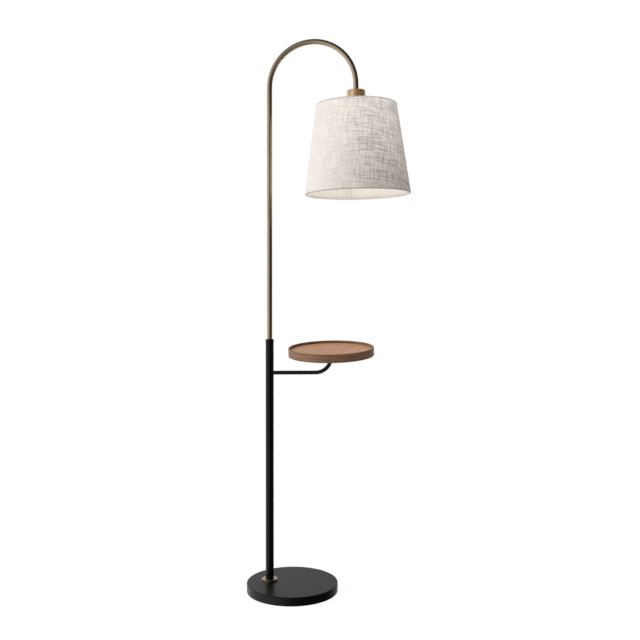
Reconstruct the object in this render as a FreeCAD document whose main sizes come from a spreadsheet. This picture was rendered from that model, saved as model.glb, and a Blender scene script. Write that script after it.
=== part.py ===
"""Floor lamp with a table: a weighted round base, a black pole in sections, a brass stem that
arcs over to a hanging drum shade, and a round wooden tray on a bent arm.

Frame: millimetres, +Z up. The origin is the centre of the base's underside on the floor, +X points
from the pole towards the shade, and -Y is the side that the lamp is seen from.
"""
import FreeCAD, Part
import math
import os
import Sketcher

# ---------------------------------------------------------------- driving dimensions (mm, degrees)
SIZES = (
    ("running_gap", 0.05, "radial clearance of a shaft that turns"),
    ("fit_gap", 0.05, "radial clearance of a piece that is pressed, screwed or glued in"),
    ("clear_gap", 0.2, "radial clearance of a hole that a piece only passes through"),
    ("thread_radius", 5.0, "lamp thread of every nipple"),
    ("nipple_bore", 3.5, "wire passage of every nipple"),
    ("wire_radius", 2.25, "supply wire inside the lamp"),
    ("insert_length", 16, "threaded insert in a tube's end"),
    ("joint_nipple_length", 24, "nipple that ties two tubes together"),
    ("nut_flats", 17, "across flats of the nuts"),
    ("nut_height", 4.2, "every nut"),
    ("base_radius", 140, "base cover, outside"),
    ("base_height", 26.5, "floor to the top of the base"),
    ("base_round", 2.5, "rounded top edge of the base"),
    ("base_wall", 1.5, "sheet of the base cover"),
    ("base_lip", 0.8, "gap between the cover's edge and the floor"),
    ("pad_radius", 134, "floor pad"),
    ("pad_thickness", 2, "floor pad"),
    ("pole_offset", 72, "base centre back to the pole's axis"),
    ("weight_gap", 0.4, "cast weight to its cover, all round"),
    ("recess_radius", 118, "recess under the weight"),
    ("recess_top", 11, "top of the recess above the floor"),
    ("foot_pocket_radius", 20, "pocket in the recess for the foot nut"),
    ("foot_pocket_top", 19, "top of the pocket above the floor"),
    ("foot_nipple_length", 29, "nipple that ties the pole to the base"),
    ("foot_washer_radius", 15, "washer over the foot nut"),
    ("foot_washer_thickness", 2.2, "washer over the foot nut"),
    ("channel_width", 11, "wire channel through the weight's edge"),
    ("channel_top", 14, "top of the channel above the floor"),
    ("inlet_height", 8.2, "cord inlet's axis above the floor"),
    ("inlet_bore", 3.3, "cord inlet, radius of its bore"),
    ("inlet_wall", 1.65, "cord inlet, wall of its sleeve"),
    ("inlet_length", 11, "cord inlet, length inside the cover"),
    ("inlet_flange", 1.55, "cord inlet, flange outside the cover, both ways"),
    ("foot_ring_radius", 24.5, "brass ring round the pole's foot"),
    ("foot_ring_height", 5, "brass ring at its inner edge"),
    ("foot_ring_edge", 4, "brass ring at its outer edge"),
    ("foot_ring_dome", 24, "radius of the brass ring's dome"),
    ("pole_radius", 12.5, "black pole, outside"),
    ("pole_wall", 1.2, "black pole's tube"),
    ("lower_pole_top", 340, "first seam of the pole"),
    ("middle_pole_top", 655, "seam under the table hub"),
    ("hub_space", 29, "height between the pole sections at the table hub"),
    ("hub_journal_radius", 6.5, "spindle that the table hub turns on"),
    ("hub_washer", 0.6, "nylon washer above and below the hub"),
    ("hub_play", 0.1, "axial play beside each washer"),
    ("upper_pole_top", 764, "underside of the ferrule's lip"),
    ("ferrule_radius", 12.8, "ferrule's lip"),
    ("ferrule_lip", 9.3, "height of the ferrule's lip"),
    ("ferrule_floor_top", 728, "floor that the stem stands over"),
    ("ferrule_floor", 6, "thickness of that floor"),
    ("ferrule_chamfer", 0.8, "chamfer of the ferrule's lip"),
    ("stem_lift", 0.3, "gap between the stem's end and the ferrule's floor"),
    ("swivel_nipple_length", 30, "nipple from the stem through the ferrule's floor"),
    ("swivel_washer_radius", 9.5, "nylon washer under the ferrule's floor"),
    ("swivel_washer_thickness", 1.2, "nylon washer under the ferrule's floor"),
    ("wire_bend", 6, "bend of the supply wire under the pole"),
    ("wire_join", 705, "where the fixed and the turning wire meet"),
    ("wire_end", 54, "arc's end down to the end of the wire in the socket"),
    ("stem_radius", 8, "brass tube, outside"),
    ("stem_wall", 1, "brass tube's wall"),
    ("stem_top", 1151, "seam between the straight stem and the arc tube"),
    ("arc_spring", 1549, "height where the arc begins"),
    ("arc_radius", 135, "arc, centreline"),
    ("head_lean", 1.1, "the arc stops this much short of a half turn"),
    ("neck_length", 22.6, "straight tube from the arc's end to the cup"),
    ("cup_radius", 28, "brass cup over the socket"),
    ("cup_length", 42, "brass cup"),
    ("cup_wall", 1.2, "brass cup"),
    ("cup_round", 1.6, "rounded top edge of the cup"),
    ("neck_nipple_length", 30, "nipple from the neck into the socket housing"),
    ("socket_mouth", 104, "arc's end down to the socket's mouth"),
    ("socket_length", 72, "socket housing"),
    ("socket_radius", 19, "socket housing"),
    ("socket_thread", 19.7, "outside thread that carries the shade"),
    ("socket_cavity", 14, "cavity for the bulb's cap"),
    ("socket_cavity_depth", 30, "cavity for the bulb's cap"),
    ("socket_flange_radius", 23, "flange over the shade's fitter"),
    ("socket_flange", 4, "flange over the shade's fitter"),
    ("socket_thread_length", 24, "threaded skirt under the flange"),
    ("socket_wall", 3.5, "wall round the wiring chamber"),
    ("chamber_floor", 46, "wiring chamber above the mouth"),
    ("chamber_shoulder", 58, "where the wiring chamber narrows"),
    ("chamber_top", 61, "top of the wiring chamber"),
    ("housing_neck_radius", 8, "threaded neck on the housing's top"),
    ("shell_wall", 0.5, "screw shell"),
    ("shell_length", 24, "screw shell"),
    ("contact_radius", 4, "centre contact"),
    ("contact_thickness", 1.2, "centre contact"),
    ("switch_drop", 70.3, "arc's end down to the switch shaft"),
    ("switch_shaft_radius", 2, "switch shaft"),
    ("switch_shaft_start", 5, "socket's axis to the shaft's inner end"),
    ("switch_shaft_length", 31, "switch shaft"),
    ("knob_start", 27.5, "socket's axis to the knob"),
    ("knob_length", 15, "switch knob"),
    ("knob_radius", 5.5, "switch knob"),
    ("knob_boss", 3.4, "collar of the knob"),
    ("shade_top_drop", 64.6, "arc's end down to the shade's top edge"),
    ("shade_top_radius", 122, "shade, outside at the top"),
    ("shade_bottom_radius", 160, "shade, outside at the bottom"),
    ("shade_height", 272, "shade"),
    ("shade_cloth", 1.2, "linen on its stiffening"),
    ("shade_lining", 0.5, "inner lining of the shade"),
    ("lining_edge", 5, "lining stops this far from the shade's edges"),
    ("shade_wire", 1.5, "radius of the shade's ring and spoke wire"),
    ("fitter_drop", 81.5, "arc's end down to the underside of the fitter ring"),
    ("fitter_radius", 28.5, "fitter ring, outside"),
    ("fitter_thickness", 1.5, "fitter ring"),
    ("ring_nut_radius", 27, "ring nut under the fitter ring"),
    ("ring_nut_height", 7.8, "ring nut under the fitter ring"),
    ("spokes", 3, "wire spokes of the shade carrier"),
    ("bulb_radius", 30, "globe of the bulb"),
    ("bulb_wall", 1, "glass"),
    ("bulb_neck", 13.5, "neck of the bulb"),
    ("bulb_shoulder", 72, "glass from its tip to the straight neck"),
    ("bulb_length", 86, "glass from its tip to the cap"),
    ("bulb_slope", 25, "angle on the globe where the side runs straight to the neck"),
    ("cap_radius", 13.2, "screw cap of the bulb"),
    ("cap_length", 25, "screw cap of the bulb"),
    ("arm_height", 669.5, "table arm's axis at the pole's axis"),
    ("arm_slope", 1.45, "the arm rises this much outwards"),
    ("tray_roll", 5.46, "the table is turned this much about its arm, front edge down"),
    ("arm_radius", 6, "table arm, solid rod"),
    ("arm_start", 13.3, "pole's axis to the arm's end face"),
    ("arm_straight_end", 145, "pole's axis to the start of the bend"),
    ("arm_bend_radius", 51.5, "bend of the arm, centreline"),
    ("arm_rise", 5.7, "straight end of the arm under the tray"),
    ("stud_radius", 4, "stud that screws the arm into the hub"),
    ("stud_start", 7.1, "pole's axis to the stud's end"),
    ("stud_length", 17, "stud"),
    ("saddle_thickness", 2.6, "saddle washer between the hub and the arm"),
    ("plate_radius", 28, "steel plate under the tray"),
    ("plate_thickness", 2.5, "steel plate under the tray"),
    ("tray_radius", 130.3, "tray, outside"),
    ("rim_thickness", 4.8, "bent wooden rim"),
    ("rim_height", 25.1, "bent wooden rim"),
    ("rim_drop", 3.1, "rim's lower edge below the arm's end"),
    ("rim_round", 1.4, "rounded edges of the rim"),
    ("board_thickness", 12, "tray board"),
    ("screw_circle", 19, "radius of the circle of tray screws"),
    ("tray_screws", 4, "screws through the plate into the board"),
    ("screw_hole", 2.2, "radius of the screws' holes in the plate"),
    ("screw_radius", 1.75, "screw shank"),
    ("screw_bite", 7.5, "depth of the screws in the board"),
    ("screw_head_radius", 3.6, "pan head"),
    ("screw_head_height", 2, "pan head"),
)

doc = FreeCAD.newDocument("FloorLampWithTable")
sheet = doc.addObject("Spreadsheet::Sheet", "sizes")
for row, (alias, number, note) in enumerate(SIZES, start=1):
    sheet.set(f"A{row}", alias)
    sheet.set(f"B{row}", str(number))
    sheet.set(f"C{row}", note)
    sheet.setAlias(f"B{row}", alias)
doc.recompute()

pieces = []


# ---------------------------------------------------------------- places
def at(x="0", y="0", z="0", yaw="0", pitch="0", roll="0"):
    """A placement as an expression on the sheet: a shift, then a turn about Z, Y and X."""
    return f"placement(vector({x}; {y}; {z}); rotation({yaw}; {pitch}; {roll}))"


CENTRE = at()
POLE = at(x="-sizes.pole_offset")
HEAD = at(
    x="-sizes.pole_offset + sizes.arc_radius * (1 + cos(sizes.head_lean))",
    z="sizes.arc_spring + sizes.arc_radius * sin(sizes.head_lean)",
    pitch="-sizes.head_lean",
)
TABLE = at(x="-sizes.pole_offset", z="sizes.arm_height", pitch="-sizes.arm_slope", roll="sizes.tray_roll")
BEND = "(90 - sizes.arm_slope)"
ARM_END_X = (
    f"(sizes.arm_straight_end + sizes.arm_bend_radius * sin({BEND}) + sizes.arm_rise * cos({BEND}))"
)
ARM_END_Z = f"(sizes.arm_bend_radius * (1 - cos({BEND})) + sizes.arm_rise * sin({BEND}))"
TRAY = f"{TABLE} * {at(x=ARM_END_X, z=ARM_END_Z, pitch='sizes.arm_slope')}"
ALONG_ARM = f"{TABLE} * {at(pitch='90')}"


def number(expression):
    """The present value of an expression on the sheet."""
    found = sheet.evalExpression(expression)
    return float(getattr(found, "Value", found))


def place(piece, *frames):
    piece.setExpression("Placement", " * ".join(frames))
    return piece


# ---------------------------------------------------------------- sketches and features
def new_piece(label, kind="PartDesign::Body"):
    piece = doc.addObject(kind, label)
    piece.Label = label
    pieces.append(piece)
    return piece


def new_sketch(body, role, name):
    """A sketch on one of the body's own origin planes."""
    sketch = body.newObject("Sketcher::SketchObject", name)
    plane = [item for item in body.Origin.OriginFeatures if item.Role == role][0]
    sketch.AttachmentSupport = [(plane, "")]
    sketch.MapMode = "FlatFace"
    return sketch


def bind(sketch, expression, kind, *where):
    """A dimension of the sketch that follows an expression on the sheet."""
    index = sketch.addConstraint(Sketcher.Constraint(kind, *where, number(expression)))
    sketch.setExpression(f"Constraints[{index}]", expression)


def circle(sketch, radius, x="0", y="0"):
    middle = FreeCAD.Vector(number(x), number(y), 0)
    made = sketch.addGeometry(Part.Circle(middle, FreeCAD.Vector(0, 0, 1), number(radius)))
    bind(sketch, radius, "Radius", made)
    fix_point(sketch, made, 3, x, y)


def fix_point(sketch, edge, end, x, y):
    """Hold one point of an edge at x, y from the sketch's origin."""
    for kind, axis, distance in (("DistanceX", -2, x), ("DistanceY", -1, y)):
        if number(distance) == 0:
            sketch.addConstraint(Sketcher.Constraint("PointOnObject", edge, end, axis))
        else:
            bind(sketch, distance, kind, -1, 1, edge, end)


def draw(sketch, start, *steps, closed=True):
    """Draw an outline from start. A step is (x, y) for a line, or (x, y, radius, turn) for an arc
    that turns left (+1) or right (-1) on its way there. Arcs are under half a circle."""
    path = [start, *steps] + ([start] if closed else [])
    edges = []
    for (x0, y0, *_), (x1, y1, *arc) in zip(path, path[1:]):
        begin = FreeCAD.Vector(number(x0), number(y0), 0)
        end = FreeCAD.Vector(number(x1), number(y1), 0)
        if not arc:
            edges.append((sketch.addGeometry(Part.LineSegment(begin, end)), 1, 2))
            continue
        radius, turn = arc
        half = (end - begin) / 2
        reach = math.sqrt(number(radius) ** 2 - half.Length ** 2)
        side = FreeCAD.Vector(-half.y, half.x, 0).normalize() * turn
        middle = begin + half + side * reach
        first, last = (begin, end) if turn > 0 else (end, begin)
        angles = [math.atan2(point.y - middle.y, point.x - middle.x) for point in (first, last)]
        whole = Part.Circle(middle, FreeCAD.Vector(0, 0, 1), number(radius))
        made = sketch.addGeometry(Part.ArcOfCircle(whole, *angles))
        bind(sketch, radius, "Radius", made)
        edges.append((made, 1, 2) if turn > 0 else (made, 2, 1))
    for (x, y, *_), (edge, _, tail) in zip(path[1:], edges):
        fix_point(sketch, edge, tail, x, y)
    if not closed:
        fix_point(sketch, edges[0][0], edges[0][1], start[0], start[1])
    pairs = zip(edges, edges[1:] + edges[:1]) if closed else zip(edges, edges[1:])
    for (edge, _, tail), (following, head, _) in pairs:
        sketch.addConstraint(Sketcher.Constraint("Coincident", edge, tail, following, head))


def turned(label, *outline):
    """A turned piece: its half outline, as (radius, height) steps, revolved about Z."""
    body = new_piece(label)
    sketch = new_sketch(body, "XZ_Plane", f"{label}_outline")
    draw(sketch, *outline)
    revolved = body.newObject("PartDesign::Revolution", f"{label}_turned")
    revolved.Profile = sketch
    revolved.ReferenceAxis = (sketch, ["V_Axis"])
    revolved.Angle = 360
    return body


def ring(label, outer, inner, height):
    """A tube, washer or disc along Z, standing on its own origin."""
    body = new_piece(label)
    sketch = new_sketch(body, "XY_Plane", f"{label}_section")
    circle(sketch, outer)
    if inner:
        circle(sketch, inner)
    raised = body.newObject("PartDesign::Pad", f"{label}_length")
    raised.Profile = sketch
    raised.setExpression("Length", height)
    return body


def nut(label):
    """A hexagonal nut along Z, for the lamp thread."""
    body = new_piece(label)
    sketch = new_sketch(body, "XY_Plane", f"{label}_section")
    corner = "sizes.nut_flats / sqrt(3)"
    draw(sketch, *[(f"{corner} * cos({60 * k + 30})", f"{corner} * sin({60 * k + 30})") for k in range(6)])
    circle(sketch, "sizes.thread_radius + sizes.fit_gap")
    raised = body.newObject("PartDesign::Pad", f"{label}_length")
    raised.Profile = sketch
    raised.setExpression("Length", "sizes.nut_height")
    return body


def cut(body, name, role, shape, depth, reverse=False):
    """Cut a sketched shape out of a body. The check stops a cut that misses the solid."""
    doc.recompute()
    before = body.Shape.Volume
    sketch = new_sketch(body, role, f"{name}_sketch")
    shape(sketch)
    pocket = body.newObject("PartDesign::Pocket", name)
    pocket.Profile = sketch
    pocket.Reversed = reverse
    pocket.setExpression("Length", depth)
    doc.recompute()
    if not body.Shape.Volume < before - 1:
        raise RuntimeError(f"{name} cuts nothing")


def bent(label, role, radius, bore, start, *steps):
    """A rod or tube bent along a path in the XZ plane. role is the plane of its first section."""
    body = new_piece(label)
    section = new_sketch(body, role, f"{label}_section")
    across, up = (start[0], "0") if role == "XY_Plane" else ("0", start[1])
    circle(section, radius, across, up)
    if bore:
        circle(section, bore, across, up)
    spine = new_sketch(body, "XZ_Plane", f"{label}_path")
    draw(spine, start, *steps, closed=False)
    doc.recompute()
    pipe = body.newObject("PartDesign::AdditivePipe", f"{label}_swept")
    pipe.Profile = section
    pipe.Spine = (spine, [f"Edge{k + 1}" for k in range(len(steps))])
    return body


# ---------------------------------------------------------------- base
# Soft disc under the base, which meets the floor.
place(ring("base_pad", "sizes.pad_radius", None, "sizes.pad_thickness"), CENTRE)

# Pressed steel cover with a rounded top edge, a hole for the pole's nipple and one for the inlet.
base_cover = turned(
    "base_cover",
    ("0", "sizes.base_height - sizes.base_wall"),
    ("sizes.base_radius - sizes.base_round", "sizes.base_height - sizes.base_wall"),
    (
        "sizes.base_radius - sizes.base_wall",
        "sizes.base_height - sizes.base_round",
        "sizes.base_round - sizes.base_wall",
        -1,
    ),
    ("sizes.base_radius - sizes.base_wall", "sizes.base_lip"),
    ("sizes.base_radius", "sizes.base_lip"),
    ("sizes.base_radius", "sizes.base_height - sizes.base_round"),
    ("sizes.base_radius - sizes.base_round", "sizes.base_height", "sizes.base_round", 1),
    ("0", "sizes.base_height"),
)
NIPPLE_HOLE = "sizes.thread_radius + sizes.clear_gap"
cut(
    base_cover,
    "cover_nipple_hole",
    "XY_Plane",
    lambda sketch: circle(sketch, NIPPLE_HOLE, "-sizes.pole_offset"),
    "sizes.base_height + 1",
    reverse=True,
)
cut(
    base_cover,
    "cover_inlet_hole",
    "YZ_Plane",
    lambda sketch: circle(
        sketch, "sizes.inlet_bore + sizes.inlet_wall + sizes.fit_gap", "0", "sizes.inlet_height"
    ),
    "sizes.base_radius + 1",
)
place(base_cover, CENTRE)

# Cast iron disc in the cover. Its recess underneath, closed by the pad, holds the wire, and has a
# pocket for the foot nut. A channel lets the wire in through its edge.
WEIGHT_RADIUS = "sizes.base_radius - sizes.base_wall - sizes.weight_gap"
WEIGHT_TOP = "sizes.base_height - sizes.base_wall - sizes.fit_gap"
base_weight = turned(
    "base_weight",
    ("0", "sizes.recess_top"),
    ("sizes.recess_radius", "sizes.recess_top"),
    ("sizes.recess_radius", "sizes.pad_thickness"),
    (WEIGHT_RADIUS, "sizes.pad_thickness"),
    (WEIGHT_RADIUS, f"{WEIGHT_TOP} - sizes.base_round"),
    (f"{WEIGHT_RADIUS} - sizes.base_round", WEIGHT_TOP),
    ("0", WEIGHT_TOP),
)
cut(
    base_weight,
    "weight_nut_pocket",
    "XY_Plane",
    lambda sketch: circle(sketch, "sizes.foot_pocket_radius", "-sizes.pole_offset"),
    "sizes.foot_pocket_top",
    reverse=True,
)
cut(
    base_weight,
    "weight_nipple_hole",
    "XY_Plane",
    lambda sketch: circle(sketch, NIPPLE_HOLE, "-sizes.pole_offset"),
    "sizes.base_height",
    reverse=True,
)
cut(
    base_weight,
    "weight_wire_channel",
    "XY_Plane",
    lambda sketch: draw(
        sketch,
        ("-sizes.base_radius", "-sizes.channel_width / 2"),
        ("-sizes.pole_offset", "-sizes.channel_width / 2"),
        ("-sizes.pole_offset", "sizes.channel_width / 2"),
        ("-sizes.base_radius", "sizes.channel_width / 2"),
    ),
    "sizes.channel_top",
    reverse=True,
)
place(base_weight, CENTRE)

# Flanged bush in the cover's edge behind the pole, where the supply cord comes in.
INLET_SLEEVE = "sizes.inlet_bore + sizes.inlet_wall"
cord_inlet = turned(
    "cord_inlet",
    ("sizes.inlet_bore", "0"),
    (INLET_SLEEVE, "0"),
    (INLET_SLEEVE, "sizes.inlet_length + sizes.fit_gap"),
    (f"{INLET_SLEEVE} + sizes.inlet_flange", "sizes.inlet_length + sizes.fit_gap"),
    (f"{INLET_SLEEVE} + sizes.inlet_flange / 2", "sizes.inlet_length + sizes.inlet_flange"),
    ("sizes.inlet_bore + sizes.inlet_flange / 4", "sizes.inlet_length + sizes.inlet_flange"),
    ("sizes.inlet_bore", "sizes.inlet_length + 0.75 * sizes.inlet_flange"),
)
place(cord_inlet, at(x="-sizes.base_radius + sizes.inlet_length", z="sizes.inlet_height", pitch="-90"))

# Domed brass ring round the pole's foot.
foot_ring = turned(
    "foot_ring",
    ("sizes.pole_radius + sizes.clear_gap", "0"),
    ("sizes.foot_ring_radius", "0"),
    ("sizes.foot_ring_radius", "sizes.foot_ring_edge"),
    ("sizes.pole_radius + 3", "sizes.foot_ring_height", "sizes.foot_ring_dome", 1),
    ("sizes.pole_radius + sizes.clear_gap", "sizes.foot_ring_height"),
)
place(foot_ring, POLE, at(z="sizes.base_height"))


# ---------------------------------------------------------------- black pole
def pole_tube(label, bottom, top):
    tube = ring(label, "sizes.pole_radius", "sizes.pole_radius - sizes.pole_wall", f"{top} - {bottom}")
    return place(tube, POLE, at(z=bottom))


def pole_insert(label, bottom):
    slug = "sizes.pole_radius - sizes.pole_wall - sizes.fit_gap"
    insert = ring(label, slug, "sizes.thread_radius + sizes.fit_gap", "sizes.insert_length")
    return place(insert, POLE, at(z=bottom))


def nipple(label, bottom, length, *frames):
    made = ring(label, "sizes.thread_radius", "sizes.nipple_bore", length)
    return place(made, *(frames or (POLE,)), at(z=bottom))


HUB_TOP = "(sizes.middle_pole_top + sizes.hub_space)"
pole_tube("lower_pole", "sizes.base_height", "sizes.lower_pole_top")
pole_tube("middle_pole", "sizes.lower_pole_top", "sizes.middle_pole_top")
pole_tube("upper_pole", HUB_TOP, "sizes.upper_pole_top")
for label, bottom in (
    ("foot_insert", "sizes.base_height"),
    ("lower_pole_insert", "sizes.lower_pole_top - sizes.insert_length"),
    ("middle_pole_foot_insert", "sizes.lower_pole_top"),
    ("middle_pole_insert", "sizes.middle_pole_top - sizes.insert_length"),
    ("upper_pole_insert", HUB_TOP),
):
    pole_insert(label, bottom)

# Threaded nipples: one ties the pole to the base, one ties the first two pole sections together.
WASHER_UNDER = "(sizes.foot_pocket_top - sizes.foot_washer_thickness)"
nipple("foot_nipple", f"{WASHER_UNDER} - sizes.nut_height - 1", "sizes.foot_nipple_length")
HALF_NIPPLE = "sizes.joint_nipple_length / 2"
nipple("pole_joint_nipple", f"sizes.lower_pole_top - {HALF_NIPPLE}", "sizes.joint_nipple_length")
foot_washer = ring("foot_washer", "sizes.foot_washer_radius", NIPPLE_HOLE, "sizes.foot_washer_thickness")
place(foot_washer, POLE, at(z=WASHER_UNDER))
place(nut("foot_nut"), POLE, at(z=f"{WASHER_UNDER} - sizes.nut_height"))

# Spindle between the middle and upper pole, with shoulders on their inserts. The table hub turns
# on its journal, between two nylon washers.
SPINDLE_THREAD = "(sizes.insert_length - 2)"
hub_spindle = turned(
    "hub_spindle",
    ("sizes.nipple_bore", "0"),
    ("sizes.thread_radius", "0"),
    ("sizes.thread_radius", SPINDLE_THREAD),
    ("sizes.hub_journal_radius", SPINDLE_THREAD),
    ("sizes.hub_journal_radius", f"{SPINDLE_THREAD} + sizes.hub_space"),
    ("sizes.thread_radius", f"{SPINDLE_THREAD} + sizes.hub_space"),
    ("sizes.thread_radius", f"2 * {SPINDLE_THREAD} + sizes.hub_space"),
    ("sizes.nipple_bore", f"2 * {SPINDLE_THREAD} + sizes.hub_space"),
)
place(hub_spindle, POLE, at(z=f"sizes.middle_pole_top - {SPINDLE_THREAD}"))
for label, bottom in (
    ("lower_hub_washer", "sizes.middle_pole_top"),
    ("upper_hub_washer", f"{HUB_TOP} - sizes.hub_washer"),
):
    washer = ring(
        label,
        "sizes.pole_radius - sizes.hub_washer",
        "sizes.hub_journal_radius + sizes.hub_play",
        "sizes.hub_washer",
    )
    place(washer, POLE, at(z=bottom))

# Ferrule on the pole's top: its lip shows, its spigot goes down inside the pole, and its floor
# carries the stem's swivel.
SPIGOT = "sizes.pole_radius - sizes.pole_wall - sizes.fit_gap"
FERRULE_TOP = "sizes.upper_pole_top + sizes.ferrule_lip"
pole_ferrule = turned(
    "pole_ferrule",
    ("sizes.thread_radius + sizes.running_gap", "sizes.ferrule_floor_top - sizes.ferrule_floor"),
    (SPIGOT, "sizes.ferrule_floor_top - sizes.ferrule_floor"),
    (SPIGOT, "sizes.upper_pole_top"),
    ("sizes.ferrule_radius", "sizes.upper_pole_top"),
    ("sizes.ferrule_radius", f"{FERRULE_TOP} - sizes.ferrule_chamfer"),
    ("sizes.ferrule_radius - sizes.ferrule_chamfer", FERRULE_TOP),
    ("sizes.stem_radius + sizes.running_gap", FERRULE_TOP),
    ("sizes.stem_radius + sizes.running_gap", "sizes.ferrule_floor_top"),
    ("sizes.thread_radius + sizes.running_gap", "sizes.ferrule_floor_top"),
)
place(pole_ferrule, POLE)

# Supply wire, fixed part: from the inlet along the channel, round a bend and up the pole.
WIRE_RUN = "sizes.base_radius - sizes.inlet_length - sizes.pole_offset"
WIRE_SPLIT = "(sizes.clear_gap / 2)"
lower_wire = bent(
    "lower_wire",
    "YZ_Plane",
    "sizes.wire_radius",
    None,
    ("0", "sizes.inlet_height"),
    (f"{WIRE_RUN} - sizes.wire_bend", "sizes.inlet_height"),
    (WIRE_RUN, "sizes.inlet_height + sizes.wire_bend", "sizes.wire_bend", 1),
    (WIRE_RUN, f"sizes.wire_join - {WIRE_SPLIT}"),
)
place(lower_wire, at(x="-sizes.base_radius + sizes.inlet_length"))

# ---------------------------------------------------------------- table hub
# Turned collar between the pole sections, with a cross hole in which the arm's stud turns.
hub_blank = ring(
    "hub_blank",
    "sizes.pole_radius",
    "sizes.hub_journal_radius + sizes.running_gap",
    "sizes.hub_space - 2 * (sizes.hub_washer + sizes.hub_play)",
)
place(hub_blank, POLE, at(z="sizes.middle_pole_top + sizes.hub_washer + sizes.hub_play"))
pieces.remove(hub_blank)


def arm_cylinder(name, radius, start, length):
    """A cylinder on the arm's axis."""
    made = doc.addObject("Part::Cylinder", name)
    made.setExpression("Radius", radius)
    made.setExpression("Height", length)
    return place(made, ALONG_ARM, at(z=start))


def subtract(label, base, tool):
    made = new_piece(label, "Part::Cut")
    made.Base = base
    made.Tool = tool
    return made


HOLE_REACH = "2 * sizes.pole_radius"
stud_hole = arm_cylinder("stud_hole", "sizes.stud_radius + sizes.running_gap", "2", HOLE_REACH)
subtract("table_hub", hub_blank, stud_hole)

# Saddle washer: round against the hub, flat against the arm.
saddle_blank = arm_cylinder(
    "saddle_blank",
    "sizes.arm_radius",
    "sizes.arm_start - sizes.saddle_thickness - sizes.clear_gap",
    "sizes.saddle_thickness",
)
hub_envelope = doc.addObject("Part::Cylinder", "hub_envelope")
hub_envelope.setExpression("Radius", "sizes.pole_radius + sizes.fit_gap")
hub_envelope.setExpression("Height", "sizes.hub_space")
place(hub_envelope, POLE, at(z="sizes.middle_pole_top"))
saddle_fitted = subtract("saddle_fitted", saddle_blank, hub_envelope)
pieces.remove(saddle_fitted)
saddle_hole = arm_cylinder("saddle_hole", "sizes.stud_radius + sizes.clear_gap", "2", HOLE_REACH)
subtract("arm_saddle", saddle_fitted, saddle_hole)

# ---------------------------------------------------------------- table
# Stud in the arm's end, which screws into the hub: the table turns and is levelled on it.
arm_stud = ring("arm_stud", "sizes.stud_radius", None, "sizes.stud_length")
place(arm_stud, ALONG_ARM, at(z="sizes.stud_start"))

# Solid rod: out from the hub, then bent up to the tray.
table_arm = bent(
    "table_arm",
    "YZ_Plane",
    "sizes.arm_radius",
    None,
    ("0", "0"),
    ("sizes.arm_straight_end - sizes.arm_start", "0"),
    (
        f"sizes.arm_straight_end - sizes.arm_start + sizes.arm_bend_radius * sin({BEND})",
        f"sizes.arm_bend_radius * (1 - cos({BEND}))",
        "sizes.arm_bend_radius",
        1,
    ),
    (f"{ARM_END_X} - sizes.arm_start", ARM_END_Z),
)
cut(
    table_arm,
    "arm_stud_bore",
    "YZ_Plane",
    lambda sketch: circle(sketch, "sizes.stud_radius + sizes.fit_gap"),
    "sizes.stud_start + sizes.stud_length - sizes.arm_start + 1",
    reverse=True,
)
place(table_arm, TABLE, at(x="sizes.arm_start"))

# Steel plate on the arm's end, screwed to the board's underside.
tray_plate = ring("tray_plate", "sizes.plate_radius", None, "sizes.plate_thickness")
SCREW_TURN = "(360 / sizes.tray_screws)"


def screw_holes(sketch):
    for k in range(int(number("sizes.tray_screws"))):
        angle = f"({k} * {SCREW_TURN} + 45)"
        circle(
            sketch,
            "sizes.screw_hole",
            f"sizes.screw_circle * cos{angle}",
            f"sizes.screw_circle * sin{angle}",
        )


cut(tray_plate, "plate_screw_holes", "XY_Plane", screw_holes, "sizes.plate_thickness + 1", reverse=True)
place(tray_plate, TRAY)

# Pan-head wood screws from below, one group.
screw_solids = []
for k in range(int(number("sizes.tray_screws"))):
    angle = f"({k} * {SCREW_TURN} + 45)"
    x_place = f"sizes.screw_circle * cos{angle}"
    y_place = f"sizes.screw_circle * sin{angle}"
    head = doc.addObject("Part::Cylinder", f"screw_head_{k}")
    head.setExpression("Radius", "sizes.screw_head_radius")
    head.setExpression("Height", "sizes.screw_head_height")
    place(head, TRAY, at(x=x_place, y=y_place, z="-sizes.screw_head_height"))
    shank = doc.addObject("Part::Cylinder", f"screw_shank_{k}")
    shank.setExpression("Radius", "sizes.screw_radius")
    shank.setExpression("Height", "sizes.screw_head_height + sizes.plate_thickness + sizes.screw_bite")
    place(shank, TRAY, at(x=x_place, y=y_place, z="-sizes.screw_head_height"))
    screw = doc.addObject("Part::Fuse", f"screw_{k}")
    screw.Base = head
    screw.Tool = shank
    screw_solids.append(screw)
new_piece("tray_screws", "Part::Compound").Links = screw_solids

# Round board, let into the bent rim, which stands up round it as a lip.
RIM_INSIDE = "sizes.tray_radius - sizes.rim_thickness"
tray_board = ring("tray_board", f"{RIM_INSIDE} - sizes.fit_gap", None, "sizes.board_thickness")
place(tray_board, TRAY, at(z="sizes.plate_thickness"))
tray_rim = turned(
    "tray_rim",
    (RIM_INSIDE, "0"),
    ("sizes.tray_radius - sizes.rim_round", "0"),
    ("sizes.tray_radius", "sizes.rim_round", "sizes.rim_round", 1),
    ("sizes.tray_radius", "sizes.rim_height - sizes.rim_round"),
    ("sizes.tray_radius - sizes.rim_round", "sizes.rim_height", "sizes.rim_round", 1),
    (f"{RIM_INSIDE} + sizes.rim_round", "sizes.rim_height"),
    (RIM_INSIDE, "sizes.rim_height - sizes.rim_round", "sizes.rim_round", 1),
)
place(tray_rim, TRAY, at(z="-sizes.rim_drop"))

# ---------------------------------------------------------------- brass stem and arc
STEM_FOOT = "(sizes.ferrule_floor_top + sizes.stem_lift)"
STEM_BORE = "sizes.stem_radius - sizes.stem_wall"
stem_tube = ring("stem_tube", "sizes.stem_radius", STEM_BORE, f"sizes.stem_top - {STEM_FOOT}")
place(stem_tube, POLE, at(z=STEM_FOOT))

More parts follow.
